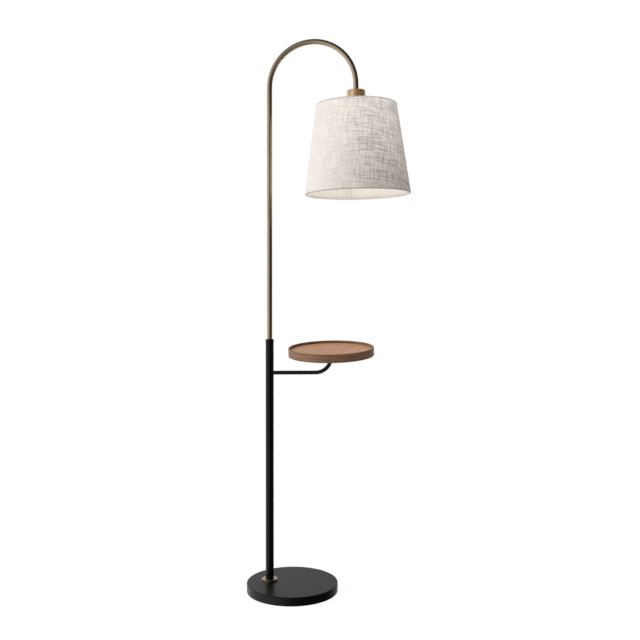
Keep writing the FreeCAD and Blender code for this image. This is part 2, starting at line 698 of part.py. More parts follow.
# Straight up from the seam, round the arc and down the neck to the cup. Its last stretch leans.
ARC_END_X = "sizes.arc_radius * (1 + cos(sizes.head_lean))"
ARC_END_Z = "sizes.arc_radius * sin(sizes.head_lean)"


def arc_route(start, neck):
    """Path in the XZ plane from a height on the pole's axis, over the arc and down the neck."""
    return (
        ("0", "0"),
        ("0", f"sizes.arc_spring - {start}"),
        ("sizes.arc_radius", f"sizes.arc_spring + sizes.arc_radius - {start}", "sizes.arc_radius", -1),
        (ARC_END_X, f"sizes.arc_spring + {ARC_END_Z} - {start}", "sizes.arc_radius", -1),
        (
            f"{ARC_END_X} + {neck} * sin(sizes.head_lean)",
            f"sizes.arc_spring + {ARC_END_Z} - {neck} * cos(sizes.head_lean) - {start}",
        ),
    )


arc_tube = bent(
    "arc_tube", "XY_Plane", "sizes.stem_radius", STEM_BORE, *arc_route("sizes.stem_top", "sizes.neck_length")
)
place(arc_tube, POLE, at(z="sizes.stem_top"))

for label, frame, bottom in (
    ("stem_foot_insert", POLE, STEM_FOOT),
    ("stem_top_insert", POLE, "sizes.stem_top - sizes.insert_length"),
    ("arc_foot_insert", POLE, "sizes.stem_top"),
    ("neck_insert", HEAD, "-sizes.neck_length"),
):
    slug = ring(
        label,
        f"{STEM_BORE} - sizes.fit_gap",
        "sizes.thread_radius + sizes.fit_gap",
        "sizes.insert_length",
    )
    place(slug, frame, at(z=bottom))
nipple("stem_joint_nipple", f"sizes.stem_top - {HALF_NIPPLE}", "sizes.joint_nipple_length")
nipple("neck_nipple", "-sizes.socket_mouth + sizes.chamber_top + 4", "sizes.neck_nipple_length", HEAD)

# Swivel under the ferrule's floor: the stem's nipple, a friction washer and a nut.
FLOOR_UNDER = "(sizes.ferrule_floor_top - sizes.ferrule_floor)"
nipple("swivel_nipple", f"{FLOOR_UNDER} - sizes.swivel_nipple_length / 3", "sizes.swivel_nipple_length")
swivel_washer = ring(
    "swivel_washer",
    "sizes.swivel_washer_radius",
    "sizes.thread_radius + sizes.fit_gap",
    "sizes.swivel_washer_thickness",
)
WASHER_BOTTOM = f"{FLOOR_UNDER} - sizes.clear_gap - sizes.swivel_washer_thickness"
place(swivel_washer, POLE, at(z=WASHER_BOTTOM))
place(nut("swivel_nut"), POLE, at(z=f"{WASHER_BOTTOM} - sizes.fit_gap - sizes.nut_height"))

# Supply wire, turning part: up the stem, through the arc and down into the socket.
WIRE_START = f"(sizes.wire_join + {WIRE_SPLIT})"
upper_wire = bent(
    "upper_wire", "XY_Plane", "sizes.wire_radius", None, *arc_route(WIRE_START, "sizes.wire_end")
)
place(upper_wire, POLE, at(z=WIRE_START))

# ---------------------------------------------------------------- head: cup, socket, switch, bulb
# Heights in the head are taken down the leaning neck from the arc's end.
socket_cup = turned(
    "socket_cup",
    (NIPPLE_HOLE, "sizes.cup_length - sizes.cup_wall"),
    ("sizes.cup_radius - sizes.cup_wall", "sizes.cup_length - sizes.cup_wall"),
    ("sizes.cup_radius - sizes.cup_wall", "0"),
    ("sizes.cup_radius", "0"),
    ("sizes.cup_radius", "sizes.cup_length - sizes.cup_round"),
    ("sizes.cup_radius - sizes.cup_round", "sizes.cup_length", "sizes.cup_round", 1),
    (NIPPLE_HOLE, "sizes.cup_length"),
)
place(socket_cup, HEAD, at(z="-(sizes.neck_length + sizes.cup_length)"))
place(nut("cup_nut"), HEAD, at(z="-(sizes.neck_length + sizes.cup_wall + sizes.nut_height)"))

# Moulded housing: threaded skirt and flange for the shade, a wiring chamber above, a cavity for
# the bulb below, and a cross hole for the switch shaft between them.
FLANGE_TOP = "sizes.socket_thread_length + sizes.socket_flange"
socket_housing = turned(
    "socket_housing",
    ("0", "sizes.socket_cavity_depth"),
    ("sizes.socket_cavity", "sizes.socket_cavity_depth"),
    ("sizes.socket_cavity", "0"),
    ("sizes.socket_thread", "0"),
    ("sizes.socket_thread", "sizes.socket_thread_length"),
    ("sizes.socket_flange_radius", "sizes.socket_thread_length"),
    ("sizes.socket_flange_radius", FLANGE_TOP),
    ("sizes.socket_radius", FLANGE_TOP),
    ("sizes.socket_radius", "sizes.chamber_shoulder + 4"),
    ("sizes.housing_neck_radius", "sizes.chamber_top + 5"),
    ("sizes.housing_neck_radius", "sizes.socket_length"),
    ("sizes.thread_radius + sizes.fit_gap", "sizes.socket_length"),
    ("sizes.thread_radius + sizes.fit_gap", "sizes.chamber_top"),
    ("sizes.socket_radius - sizes.socket_wall", "sizes.chamber_shoulder"),
    ("sizes.socket_radius - sizes.socket_wall", "sizes.chamber_floor"),
    ("0", "sizes.chamber_floor"),
)
cut(
    socket_housing,
    "switch_shaft_hole",
    "XZ_Plane",
    lambda sketch: circle(
        sketch,
        "sizes.switch_shaft_radius + sizes.running_gap",
        "0",
        "sizes.socket_mouth - sizes.switch_drop",
    ),
    "sizes.socket_radius + 1",
    reverse=True,
)
place(socket_housing, HEAD, at(z="-sizes.socket_mouth"))
SHELL_RADIUS = "sizes.socket_cavity - sizes.fit_gap"
socket_shell = ring("socket_shell", SHELL_RADIUS, f"{SHELL_RADIUS} - sizes.shell_wall", "sizes.shell_length")
place(socket_shell, HEAD, at(z="-sizes.socket_mouth + 1.5"))
socket_contact = ring("socket_contact", "sizes.contact_radius", None, "sizes.contact_thickness")
CONTACT_UNDER = "sizes.socket_cavity_depth - sizes.contact_thickness"
place(socket_contact, HEAD, at(z=f"-sizes.socket_mouth + {CONTACT_UNDER}"))

# Switch shaft and fluted turn knob, pointing to the front above the shade carrier.
TO_FRONT = at(z="-sizes.switch_drop", roll="90")
switch_shaft = ring("switch_shaft", "sizes.switch_shaft_radius", None, "sizes.switch_shaft_length")
place(switch_shaft, HEAD, TO_FRONT, at(z="sizes.switch_shaft_start"))
KNOB_BORE = "sizes.switch_shaft_radius + sizes.fit_gap"
KNOB_BORE_END = "sizes.switch_shaft_start + sizes.switch_shaft_length - sizes.knob_start + sizes.clear_gap"
switch_knob = turned(
    "switch_knob",
    (KNOB_BORE, "0"),
    ("sizes.knob_boss", "0"),
    ("sizes.knob_boss", "2"),
    ("0.95 * sizes.knob_radius", "3.5"),
    ("sizes.knob_radius", "sizes.knob_length - 1"),
    ("sizes.knob_radius - 1", "sizes.knob_length", "1.2", 1),
    ("0", "sizes.knob_length"),
    ("0", KNOB_BORE_END),
    (KNOB_BORE, KNOB_BORE_END),
)
place(switch_knob, HEAD, TO_FRONT, at(z="sizes.knob_start"))

# Bulb: hollow globe on a tapering neck, and its screw cap.
def globe_side(radius):
    """Radius and height where a globe of this radius turns into the straight side."""
    return f"{radius} * cos(sizes.bulb_slope)", f"sizes.bulb_radius + {radius} * sin(sizes.bulb_slope)"


INNER_GLOBE = "(sizes.bulb_radius - sizes.bulb_wall)"
bulb_glass = turned(
    "bulb_glass",
    ("0", "0"),
    ("sizes.bulb_radius", "sizes.bulb_radius", "sizes.bulb_radius", 1),
    (*globe_side("sizes.bulb_radius"), "sizes.bulb_radius", 1),
    ("sizes.bulb_neck", "sizes.bulb_shoulder"),
    ("sizes.bulb_neck", "sizes.bulb_length"),
    ("sizes.bulb_neck - sizes.bulb_wall", "sizes.bulb_length"),
    ("sizes.bulb_neck - sizes.bulb_wall", "sizes.bulb_shoulder"),
    globe_side(INNER_GLOBE),
    (INNER_GLOBE, "sizes.bulb_radius", INNER_GLOBE, -1),
    ("0", "sizes.bulb_wall", INNER_GLOBE, -1),
)
BULB_DROP = "sizes.socket_mouth + sizes.bulb_length - 1"
place(bulb_glass, HEAD, at(z=f"-({BULB_DROP})"))
bulb_cap = turned(
    "bulb_cap",
    ("0", "0"),
    ("sizes.cap_radius - 1", "0"),
    ("sizes.cap_radius", "1"),
    ("sizes.cap_radius", "sizes.cap_length - 6"),
    ("sizes.cap_radius / 2", "sizes.cap_length - 2"),
    ("sizes.contact_radius - 0.5", "sizes.cap_length - 2"),
    ("sizes.contact_radius - 0.5", "sizes.cap_length"),
    ("0", "sizes.cap_length"),
)
place(bulb_cap, HEAD, at(z="-sizes.socket_mouth + 1.2"))

# ---------------------------------------------------------------- shade
# Ring nut on the socket's skirt, under the fitter ring.
shade_ring_nut = turned(
    "shade_ring_nut",
    ("sizes.socket_thread + sizes.fit_gap", "0"),
    ("sizes.socket_flange_radius", "0"),
    ("sizes.socket_flange_radius", "0.7 * sizes.ring_nut_height"),
    ("sizes.ring_nut_radius", "0.8 * sizes.ring_nut_height"),
    ("sizes.ring_nut_radius", "sizes.ring_nut_height"),
    ("sizes.socket_thread + sizes.fit_gap", "sizes.ring_nut_height"),
)
place(shade_ring_nut, HEAD, at(z="-sizes.fitter_drop - sizes.fit_gap - sizes.ring_nut_height"))

# Carrier, welded from wire: fitter ring, spokes and the shade's top ring.
SHADE_SLOPE = "((sizes.shade_bottom_radius - sizes.shade_top_radius) / sizes.shade_height)"
WALL_INSET = "(sizes.shade_cloth + sizes.shade_wire + sizes.clear_gap)"
TOP_RING_DROP = f"(sizes.shade_top_drop + {WALL_INSET})"
TOP_RING_RADIUS = f"(sizes.shade_top_radius + {SHADE_SLOPE} * {WALL_INSET} - {WALL_INSET})"
fitter_plate = ring(
    "fitter_plate",
    "sizes.fitter_radius",
    "sizes.socket_thread + 2 * sizes.clear_gap",
    "sizes.fitter_thickness",
)
place(fitter_plate, HEAD, at(z="-sizes.fitter_drop"))
pieces.remove(fitter_plate)
top_ring = doc.addObject("Part::Torus", "shade_top_ring")
top_ring.setExpression("Radius1", TOP_RING_RADIUS)
top_ring.setExpression("Radius2", "sizes.shade_wire")
place(top_ring, HEAD, at(z=f"-{TOP_RING_DROP}"))
carrier_parts = [fitter_plate, top_ring]
SPOKE_START = "(sizes.fitter_radius - sizes.shade_wire)"
FITTER_MIDDLE = "(sizes.fitter_drop - sizes.fitter_thickness / 2)"
SPOKE_RISE = f"({FITTER_MIDDLE} - {TOP_RING_DROP})"
SPOKE_RUN = f"({TOP_RING_RADIUS} - {SPOKE_START})"
for k in range(int(number("sizes.spokes"))):
    spoke = doc.addObject("Part::Cylinder", f"shade_spoke_{k}")
    spoke.setExpression("Radius", "sizes.shade_wire")
    spoke.setExpression("Height", f"sqrt({SPOKE_RUN} ^ 2 + {SPOKE_RISE} ^ 2)")
    place(
        spoke,
        HEAD,
        at(z=f"-{FITTER_MIDDLE}", yaw=f"{k} * 360 / sizes.spokes + 90"),
        at(x=SPOKE_START, pitch=f"-atan({SPOKE_RISE} / {SPOKE_RUN})"),
        at(pitch="90"),
    )
    carrier_parts.append(spoke)
shade_carrier = new_piece("shade_carrier", "Part::MultiFuse")
shade_carrier.Shapes = carrier_parts

# Bottom ring wire, inside the lower hem.
bottom_ring = new_piece("shade_bottom_ring", "Part::Torus")
BOTTOM_RING_RADIUS = f"sizes.shade_bottom_radius - {SHADE_SLOPE} * {WALL_INSET} - {WALL_INSET}"
bottom_ring.setExpression("Radius1", BOTTOM_RING_RADIUS)
bottom_ring.setExpression("Radius2", "sizes.shade_wire")
SHADE_BOTTOM = "-(sizes.shade_top_drop + sizes.shade_height)"
place(bottom_ring, HEAD, at(z=f"{SHADE_BOTTOM} + {WALL_INSET}"))


def cone_wall(label, outer_inset, inner_inset, low, high):
    """A sloping wall between two insets from the shade's outside, from one height to another."""

    def corner(inset, height):
        return (f"sizes.shade_bottom_radius - {SHADE_SLOPE} * ({height}) - {inset}", height)

    wall = turned(
        label,
        corner(inner_inset, low),
        corner(outer_inset, low),
        corner(outer_inset, high),
        corner(inner_inset, high),
    )
    return place(wall, HEAD, at(z=SHADE_BOTTOM))


# Linen on its stiffening, and the lining glued behind it between the ring wires.
cone_wall("shade_cover", "0", "sizes.shade_cloth", "0", "sizes.shade_height")
LINING_FACE = "(sizes.shade_cloth + sizes.fit_gap)"
LINING_BACK = f"({LINING_FACE} + sizes.shade_lining)"
LINING_TOP = "sizes.shade_height - sizes.lining_edge"
cone_wall("shade_lining", LINING_FACE, LINING_BACK, "sizes.lining_edge", LINING_TOP)

# ---------------------------------------------------------------- checks and export
doc.recompute()
for item in doc.Objects:
    if "Invalid" in item.State or "Error" in item.State:
        raise RuntimeError(f"{item.Label} failed: {item.State}")
for piece in pieces:
    if piece.Shape.isNull() or not piece.Shape.isValid():
        raise RuntimeError(f"{piece.Label} has no valid shape")

os.makedirs("parts", exist_ok=True)
for piece in pieces:
    piece.Shape.exportStep(f"parts/{piece.Label}.step")
    box = piece.Shape.BoundBox
    print(f"{piece.Label:24s} {len(piece.Shape.Solids)} solid  {piece.Shape.Volume / 1000:9.2f} cm3  "
          f"z {box.ZMin:8.2f} .. {box.ZMax:8.2f}")
print(len(pieces), "pieces")
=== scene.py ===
import math

import bpy
import numpy as np
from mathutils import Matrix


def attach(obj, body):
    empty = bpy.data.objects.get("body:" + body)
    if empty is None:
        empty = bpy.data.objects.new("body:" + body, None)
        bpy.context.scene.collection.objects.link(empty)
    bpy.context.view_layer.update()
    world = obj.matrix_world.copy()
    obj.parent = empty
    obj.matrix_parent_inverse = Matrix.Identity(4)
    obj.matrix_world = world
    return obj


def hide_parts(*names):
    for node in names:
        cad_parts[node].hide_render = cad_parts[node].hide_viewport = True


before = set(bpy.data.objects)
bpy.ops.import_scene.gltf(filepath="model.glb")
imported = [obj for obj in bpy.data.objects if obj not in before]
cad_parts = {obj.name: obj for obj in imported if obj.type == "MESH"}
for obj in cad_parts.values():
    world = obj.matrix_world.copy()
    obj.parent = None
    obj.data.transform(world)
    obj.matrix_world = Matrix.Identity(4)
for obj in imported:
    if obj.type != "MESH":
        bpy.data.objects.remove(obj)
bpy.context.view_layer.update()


# ---------------------------------------------------------------- floor pad
# A disc of closed-cell foam, die cut and glued under the base a little in from the cover's edge, so
# that the lamp doesn't slide or scratch.
class Value:
    """A number that changes over a surface, kept as a node's socket. + - * and / on it add Math
    nodes, and so do + - and * with a plain number before it."""

    def __init__(self, nodes, socket):
        self.nodes, self.socket = nodes, socket

    def math(self, operation, *numbers):
        return self.nodes.node("ShaderNodeMath", {"operation": operation}, dict(enumerate(numbers)))

    def __add__(self, other):
        return self.math("ADD", self, other)

    def __sub__(self, other):
        return self.math("SUBTRACT", self, other)

    def __rsub__(self, other):
        return self.math("SUBTRACT", other, self)

    def __mul__(self, other):
        return self.math("MULTIPLY", self, other)

    def __truediv__(self, other):
        return self.math("DIVIDE", self, other)

    def __abs__(self):
        return self.math("ABSOLUTE", self)

    __radd__, __rmul__ = __add__, __mul__

    def sine(self):
        return self.math("SINE", self)

    def at_most(self, most):
        return self.math("MINIMUM", self, most)

    def between(self, low, high):
        """0 below low and 1 above high, with a smooth step from one to the other."""
        step = {"interpolation_type": "SMOOTHSTEP"}
        return self.nodes.node("ShaderNodeMapRange", step, {0: self, 1: low, 2: high})


class Nodes:
    """The shader nodes of one material, or of the studio's surroundings."""

    def __init__(self, tree):
        self.tree = tree

    def feed(self, made, socket, value):
        """Puts a value or a link into a node's socket."""
        target = made.inputs[socket]
        if isinstance(value, Value):
            self.tree.links.new(value.socket, target)
        else:
            # A colour is written without its alpha.
            target.default_value = (*value, 1) if target.type == "RGBA" else value

    def node(self, kind, settings, inputs, out=0):
        """Adds a node of a kind: its settings first, then the values or links of its sockets."""
        made = self.tree.nodes.new(kind)
        for name, value in settings.items():
            setattr(made, name, value)
        for socket, value in inputs.items():
            self.feed(made, socket, value)
        return Value(self, made.outputs[out])

    def place(self, scale=(1, 1, 1)):
        """Object coordinates, in metres, times a scale."""
        here = self.node("ShaderNodeTexCoord", {}, {}, "Object")
        return self.node("ShaderNodeMapping", {}, {"Vector": here, "Scale": scale})

    def run(self, scale=(1, 1, 1), move=(0, 0, 0)):
        """The piece's own attribute, which says where a point was before the piece was bent, in
        metres, times a scale and moved."""
        here = self.node("ShaderNodeAttribute", {"attribute_name": "run"}, {}, "Vector")
        return self.node("ShaderNodeMapping", {}, {"Vector": here, "Location": move, "Scale": scale})

    def part(self, vector, axis):
        """The X, Y or Z of a vector."""
        return self.node("ShaderNodeSeparateXYZ", {}, {0: vector}, axis)

    def noise(self, here, scale=1, detail=2, roughness=0.5, distortion=0):
        """Noise from 0 to 1. A scale of 1000 on metres gives spots about 1 mm across."""
        spots = {"Scale": scale, "Detail": detail, "Roughness": roughness, "Distortion": distortion}
        return self.node("ShaderNodeTexNoise", {}, {"Vector": here, **spots})

    def mix(self, mask, first, second):
        """A colour that goes from the first to the second as the mask goes from 0 to 1."""
        return self.node("ShaderNodeMix", {"data_type": "RGBA"}, {0: mask, 6: first, 7: second}, 2)


class Finish(Nodes):
    """A finish for pieces of the lamp: one Principled shader. What is the same all over the surface
    is set on the shader's own sockets."""

    def __init__(self, name, fixed):
        self.material = bpy.data.materials.new(name)
        self.material.use_nodes = True
        super().__init__(self.material.node_tree)
        self.shader = self.tree.nodes["Principled BSDF"]
        for socket, value in fixed.items():
            self.feed(self.shader, socket, value)

    def show(self, colour, roughness, height, depth):
        """Feeds what changes over the surface. Height is 0 to 1, and depth is that step in mm."""
        self.feed(self.shader, "Base Color", colour)
        self.feed(self.shader, "Roughness", roughness)
        bump = {"Height": height, "Distance": depth * 0.001, "Strength": 1}
        self.feed(self.shader, "Normal", self.node("ShaderNodeBump", {}, bump))


def coat(finish, *nodes):
    """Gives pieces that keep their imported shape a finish."""
    for node in nodes:
        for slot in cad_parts[node].material_slots:
            slot.material = finish.material


foam = Finish("closed cell foam", {"Specular IOR Level": 0.25})
cells = foam.noise(foam.place(), 1400, 3)
foam.show(
    colour=foam.mix(cells.between(0.35, 0.7), (0.012, 0.012, 0.013), (0.04, 0.04, 0.042)),
    roughness=0.85 + 0.1 * cells,
    height=cells,
    depth=0.12,
)
coat(foam, "base_pad")

# ---------------------------------------------------------------- cast weight
# A disc of grey iron, cast in sand and left as it came from the mould, which keeps the lamp on its
# feet. The cover hides it.
iron = Finish("sand cast iron", {"Metallic": 0.6})
sand = iron.noise(iron.place(), 700, 4, 0.65)
iron.show(
    colour=iron.mix(sand.between(0.3, 0.7), (0.06, 0.055, 0.05), (0.14, 0.135, 0.13)),
    roughness=0.7 + 0.2 * sand,
    height=sand,
    depth=0.25,
)
coat(iron, "base_weight")

# ---------------------------------------------------------------- base cover
# A pressed steel dish over the weight, with a rounded top edge, sprayed with black powder and baked
# to a satin coat with a very fine grain. The cord's bush sits in its back edge.
powder = Finish("satin black powder coat", {"Specular IOR Level": 0.3})
grain = powder.noise(powder.place(), 2600, 2)
cloud = powder.noise(powder.place(), 45, 3, 0.6)
powder.show(
    colour=powder.mix(
        cloud.between(0.3, 0.7), (0.0022, 0.0022, 0.0024), (0.0038, 0.0037, 0.0037)
    ),
    roughness=0.31 + 0.07 * cloud + 0.05 * grain,
    height=grain,
    depth=0.012,
)
coat(powder, "base_cover")

bush = Finish("moulded black bush", {"Specular IOR Level": 0.4})
flow = bush.noise(bush.place(), 900, 2)
bush.show(
    colour=bush.mix(flow, (0.012, 0.012, 0.012), (0.022, 0.022, 0.022)),
    roughness=0.5 + 0.12 * flow,
    height=flow,
    depth=0.02,
)
coat(bush, "cord_inlet")


# ---------------------------------------------------------------- foot ring
# A domed ring of solid brass, turned on a lathe, which covers the joint between pole and base.
def outline(corners, closed=False, steps=6):
    """The half outline of a turned piece, from its corners (radius, height, rounding).

    At a corner P the way in, a, turns to the way out, b, by the angle t. Its fillet of radius r
    starts at S = P - a r tan(|t| / 2) and runs as S + r (sin(u |t|) a + (1 - cos(u |t|)) n), with u
    from 0 to 1 and n square to a on the side of the turn. One point 0.3 r before the fillet and one
    after it keep the flats beside it flat."""
    table = np.array([(*corner, 0)[:3] for corner in corners], float)
    place, radius = table[:, :2], table[:, 2]
    into, out = place - np.roll(place, 1, axis=0), np.roll(place, -1, axis=0) - place
    if not closed:
        into[0], out[-1] = out[0], into[-1]
    into /= np.linalg.norm(into, axis=1, keepdims=True)
    out /= np.linalg.norm(out, axis=1, keepdims=True)
    turn = np.arctan2(into[:, 0] * out[:, 1] - into[:, 1] * out[:, 0], (into * out).sum(axis=1))
    square = np.sign(turn)[:, None] * np.stack([-into[:, 1], into[:, 0]], axis=1)
    start = place - into * (radius * np.tan(np.abs(turn) / 2))[:, None]
    angle = (np.abs(turn)[:, None] * np.linspace(0, 1, steps + 1))[..., None]
    ways = np.sin(angle) * into[:, None] + (1 - np.cos(angle)) * square[:, None]
    fillet = start[:, None] + radius[:, None, None] * ways
    guard = 0.3 * radius[:, None, None]
    before, after = fillet[:, :1] - guard * into[:, None], fillet[:, -1:] + guard * out[:, None]
    points = np.concatenate([before, fillet, after], axis=1).reshape(-1, 2)
    return points[np.linalg.norm(points - np.roll(points, 1, axis=0), axis=1) > 1e-6]


def divide(points, step, low, high):
    """Adds points to an outline wherever a side lies between two heights, at most a step apart."""
    following = np.roll(points, -1, axis=0)
    length = np.linalg.norm(following - points, axis=1)
    middle = (points[:, 1] + following[:, 1]) / 2
    wanted = (middle > low) & (middle < high)
    count = np.where(wanted, np.maximum(np.ceil(length / step), 1), 1).astype(int)
    first = np.repeat(np.cumsum(count) - count, count)
    share = (np.arange(count.sum()) - first) / np.repeat(count, count)
    begin, end = np.repeat(points, count, axis=0), np.repeat(following, count, axis=0)
    return begin + share[:, None] * (end - begin)


def divided_open(points, step, low, high):
    """Does the same on an outline that starts and ends on the axis, and leaves its last point as it
    is. What joins the point before it to the first point counts as a side, too."""
    return np.concatenate([divide(points[:-1], step, low, high), points[-1:]])


def revolve(points, sides=96):
    """Carries a half outline (r, z) once round the Z axis: (r cos t, r sin t, z)."""
    t = np.linspace(0, 2 * np.pi, sides, endpoint=False)[:, None]
    r, z = points.T
    return np.stack(np.broadcast_arrays(r * np.cos(t), r * np.sin(t), z), axis=-1)


# Edges that turn by more than this stay sharp.
SHARP = math.radians(38)


def skin(name, grids, runs=None, wrap=(True, True)):
    """Builds one closed mesh from grids of points in millimetres.

    The quad of cell (i, j) joins points (i, j), (i+1, j), (i+1, j+1) and (i, j+1), and wrap says
    whether i and j come round to their start. Points in the same place are merged, and a quad that
    loses a corner at a pole is left as a triangle. The sum of p0 . (p1 x p2) over the triangles is
    six times the volume: where it is below 0 the quads are turned over, so that faces point
    outwards. The attribute run keeps each point's place on the piece before it was bent."""
    grids = [grids] if isinstance(grids, np.ndarray) else grids
    runs = grids if runs is None else [runs] if isinstance(runs, np.ndarray) else runs
    quads, used = [], 0
    for grid in grids:
        index = np.arange(grid.shape[0] * grid.shape[1]).reshape(grid.shape[:2]) + used
        index = np.concatenate([index, index[:1]], axis=0) if wrap[0] else index
        index = np.concatenate([index, index[:, :1]], axis=1) if wrap[1] else index
        cells = [index[:-1, :-1], index[1:, :-1], index[1:, 1:], index[:-1, 1:]]
        quads.append(np.stack(cells, axis=-1).reshape(-1, 4))
        used += grid.shape[0] * grid.shape[1]
    quads = np.concatenate(quads)
    places = np.concatenate([grid.reshape(-1, 3) for grid in grids]) * 0.001
    runs = np.concatenate([run.reshape(-1, 3) for run in runs]) * 0.001
    p0, p1, p2, p3 = places[quads].transpose(1, 0, 2)
    if (p0 * (np.cross(p1, p2) + np.cross(p2, p3))).sum() < 0:
        quads = quads[:, ::-1]
    _, first, same = np.unique(np.round(places, 8), axis=0, return_index=True, return_inverse=True)
    corner = same.reshape(-1)[quads]
    kept = corner != np.roll(corner, 1, axis=1)
    whole = kept.sum(axis=1) > 2
    corner, kept = corner[whole], kept[whole]
    count = kept.sum(axis=1)
    mesh = bpy.data.meshes.new(name)
    mesh.vertices.add(len(first))
    mesh.vertices.foreach_set("co", places[first].ravel())
    mesh.loops.add(int(count.sum()))
    mesh.loops.foreach_set("vertex_index", corner[kept])
    mesh.polygons.add(len(count))
    mesh.polygons.foreach_set("loop_start", np.cumsum(count) - count)
    mesh.update(calc_edges=True)
    run = mesh.attributes.new("run", "FLOAT_VECTOR", "POINT")
    run.data.foreach_set("vector", runs[first].ravel())
    mesh.validate()
    mesh.shade_smooth()
    mesh.set_sharp_from_angle(angle=SHARP)
    piece = bpy.data.objects.new(name, mesh)
    bpy.context.scene.collection.objects.link(piece)
    return piece


def fit(piece, finish, body, slot, *nodes):
    """Gives a piece its finish and its body, and hides the nodes it stands for. Its slot is not used.
    """
    piece.data.materials.clear()
    piece.data.materials.append(finish.material)
    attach(piece, body)
    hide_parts(*nodes)


# The pole's axis stands behind the base's middle.
POLE = np.array([-72.0, 0, 0])
BASE_TOP = 26.5

turned_brass = Finish("turned antique brass", {"Metallic": 1, "Specular IOR Level": 0.5})
lathe = turned_brass.noise(turned_brass.place((1, 1, 14)), 260, 3, 0.6)
patina = turned_brass.noise(turned_brass.place(), 70, 3)
turned_brass.show(
    colour=turned_brass.mix(patina.between(0.3, 0.75), (0.60, 0.50, 0.33), (0.48, 0.37, 0.22)),
    roughness=0.26 + 0.12 * lathe,
    height=lathe,
    depth=0.02,
)
RING_BORE, RING_FLAT, RING_RADIUS = 12.7, 15.5, 24.5
RING_EDGE, RING_HEIGHT, DOME_RADIUS = 4.0, 5.0, 24.0
# The dome's arc runs from the ring's edge to its flat, round a middle below the chord between them.
dome_ends = np.array([(RING_RADIUS, RING_EDGE), (RING_FLAT, RING_HEIGHT)])
chord = dome_ends[1] - dome_ends[0]
chord_length = np.linalg.norm(chord)
inwards = np.array([-chord[1], chord[0]]) / chord_length
dome_drop = math.sqrt(DOME_RADIUS**2 - chord_length**2 / 4)
dome_middle = dome_ends.mean(axis=0) + dome_drop * inwards
dome_turn = np.linspace(*np.arctan2(*(dome_ends - dome_middle).T[::-1]), 12)
dome = dome_middle + DOME_RADIUS * np.stack([np.cos(dome_turn), np.sin(dome_turn)], axis=1)
ring_corners = [
    (RING_BORE, 0),
    (RING_RADIUS, 0),
    (*dome[0], 0.35),
    *dome[1:],
    (RING_BORE, RING_HEIGHT, 0.3),
]
foot_ring = revolve(outline(ring_corners, closed=True), sides=128) + POLE + (0, 0, BASE_TOP)
foot_ring = skin("ring_foot", foot_ring)
fit(foot_ring, turned_brass, "stand", "antique_brass", "foot_ring")

# ---------------------------------------------------------------- black pole
# Steel tube, 25 mm across, in three lengths that screw end to end on threaded nipples. Each end is
# eased, so that a fine line shows at every joint. The supply wire runs up the middle.
zinc = Finish("zinc plated steel", {"Metallic": 1})
cloudy = zinc.noise(zinc.place(), 160, 3)
lines = zinc.noise(zinc.place((1, 1, 0.08)), 1500, 2)
zinc.show(
    colour=zinc.mix(cloudy, (0.50, 0.51, 0.50), (0.66, 0.66, 0.63)),
    roughness=0.28 + 0.12 * lines + 0.08 * cloudy,
    height=lines,
    depth=0.008,
)
coat(
    zinc,
    "foot_insert",
    "lower_pole_insert",
    "middle_pole_foot_insert",
    "middle_pole_insert",
    "upper_pole_insert",
    "foot_nipple",
    "foot_washer",
    "foot_nut",
    "pole_joint_nipple",
    "hub_spindle",
)
sleeve = Finish("vinyl wire sleeve", {"Specular IOR Level": 0.45})
ribs = sleeve.noise(sleeve.place((1, 1, 0.3)), 700, 2)
sleeve.show(
    colour=sleeve.mix(ribs, (0.012, 0.012, 0.013), (0.03, 0.03, 0.032)),
    roughness=0.42 + 0.15 * ribs,
    height=ribs,
    depth=0.02,
)
coat(sleeve, "lower_wire")


def tube(low, high, outer, inner, ease):
    """The half outline of a tube between two heights, with its outer edges rounded by ease."""
    corners = [(inner, low, 0.2), (outer, low, ease), (outer, high, ease), (inner, high, 0.2)]
    return outline(corners, closed=True, steps=4)


POLE_OUT, POLE_IN = 12.5, 11.3
POLE_JOINT, HUB_FOOT, HUB_TOP, POLE_TOP = 340, 655, 684, 764
for name, node, low, high in (
    ("pole_lower", "lower_pole", BASE_TOP, POLE_JOINT),
    ("pole_middle", "middle_pole", POLE_JOINT, HUB_FOOT),
    ("pole_upper", "upper_pole", HUB_TOP, POLE_TOP),
):
    section = skin(name, revolve(tube(low, high, POLE_OUT, POLE_IN, ease=0.45)) + POLE)
    fit(section, powder, "stand", "black_powder_coat", node)

# ---------------------------------------------------------------- table hub
# A turned steel collar, as wide as the pole, which turns on a spindle between two nylon washers, so
# the table swings round the lamp. The arm's stud screws into its side.
nylon = Finish("black nylon", {"Specular IOR Level": 0.45})
haze = nylon.noise(nylon.place(), 500, 2)
nylon.show(
    colour=nylon.mix(haze, (0.014, 0.014, 0.014), (0.03, 0.03, 0.03)),
    roughness=0.45 + 0.1 * haze,
    height=haze,
    depth=0.01,
)
coat(nylon, "lower_hub_washer", "upper_hub_washer")

# The arm leaves the pole at this height and rises by its slope. Its roll tilts the tray, in degrees.
ARM_HEIGHT, ARM_SLOPE, ARM_ROLL = 669.5, 1.45, 5.46
HUB_BORE, WASHER, HUB_EASE = 6.55, 0.7, 0.7
hub_low, hub_high = HUB_FOOT + WASHER, HUB_TOP - WASHER
hub_corners = [
    (HUB_BORE, hub_low),
    (POLE_OUT, hub_low, HUB_EASE),
    (POLE_OUT, hub_high, HUB_EASE),
    (HUB_BORE, hub_high),
]
hub_outline = divide(outline(hub_corners, closed=True), step=2, low=656.5, high=682.5)
hub = skin("hub_turned", revolve(hub_outline) + POLE)


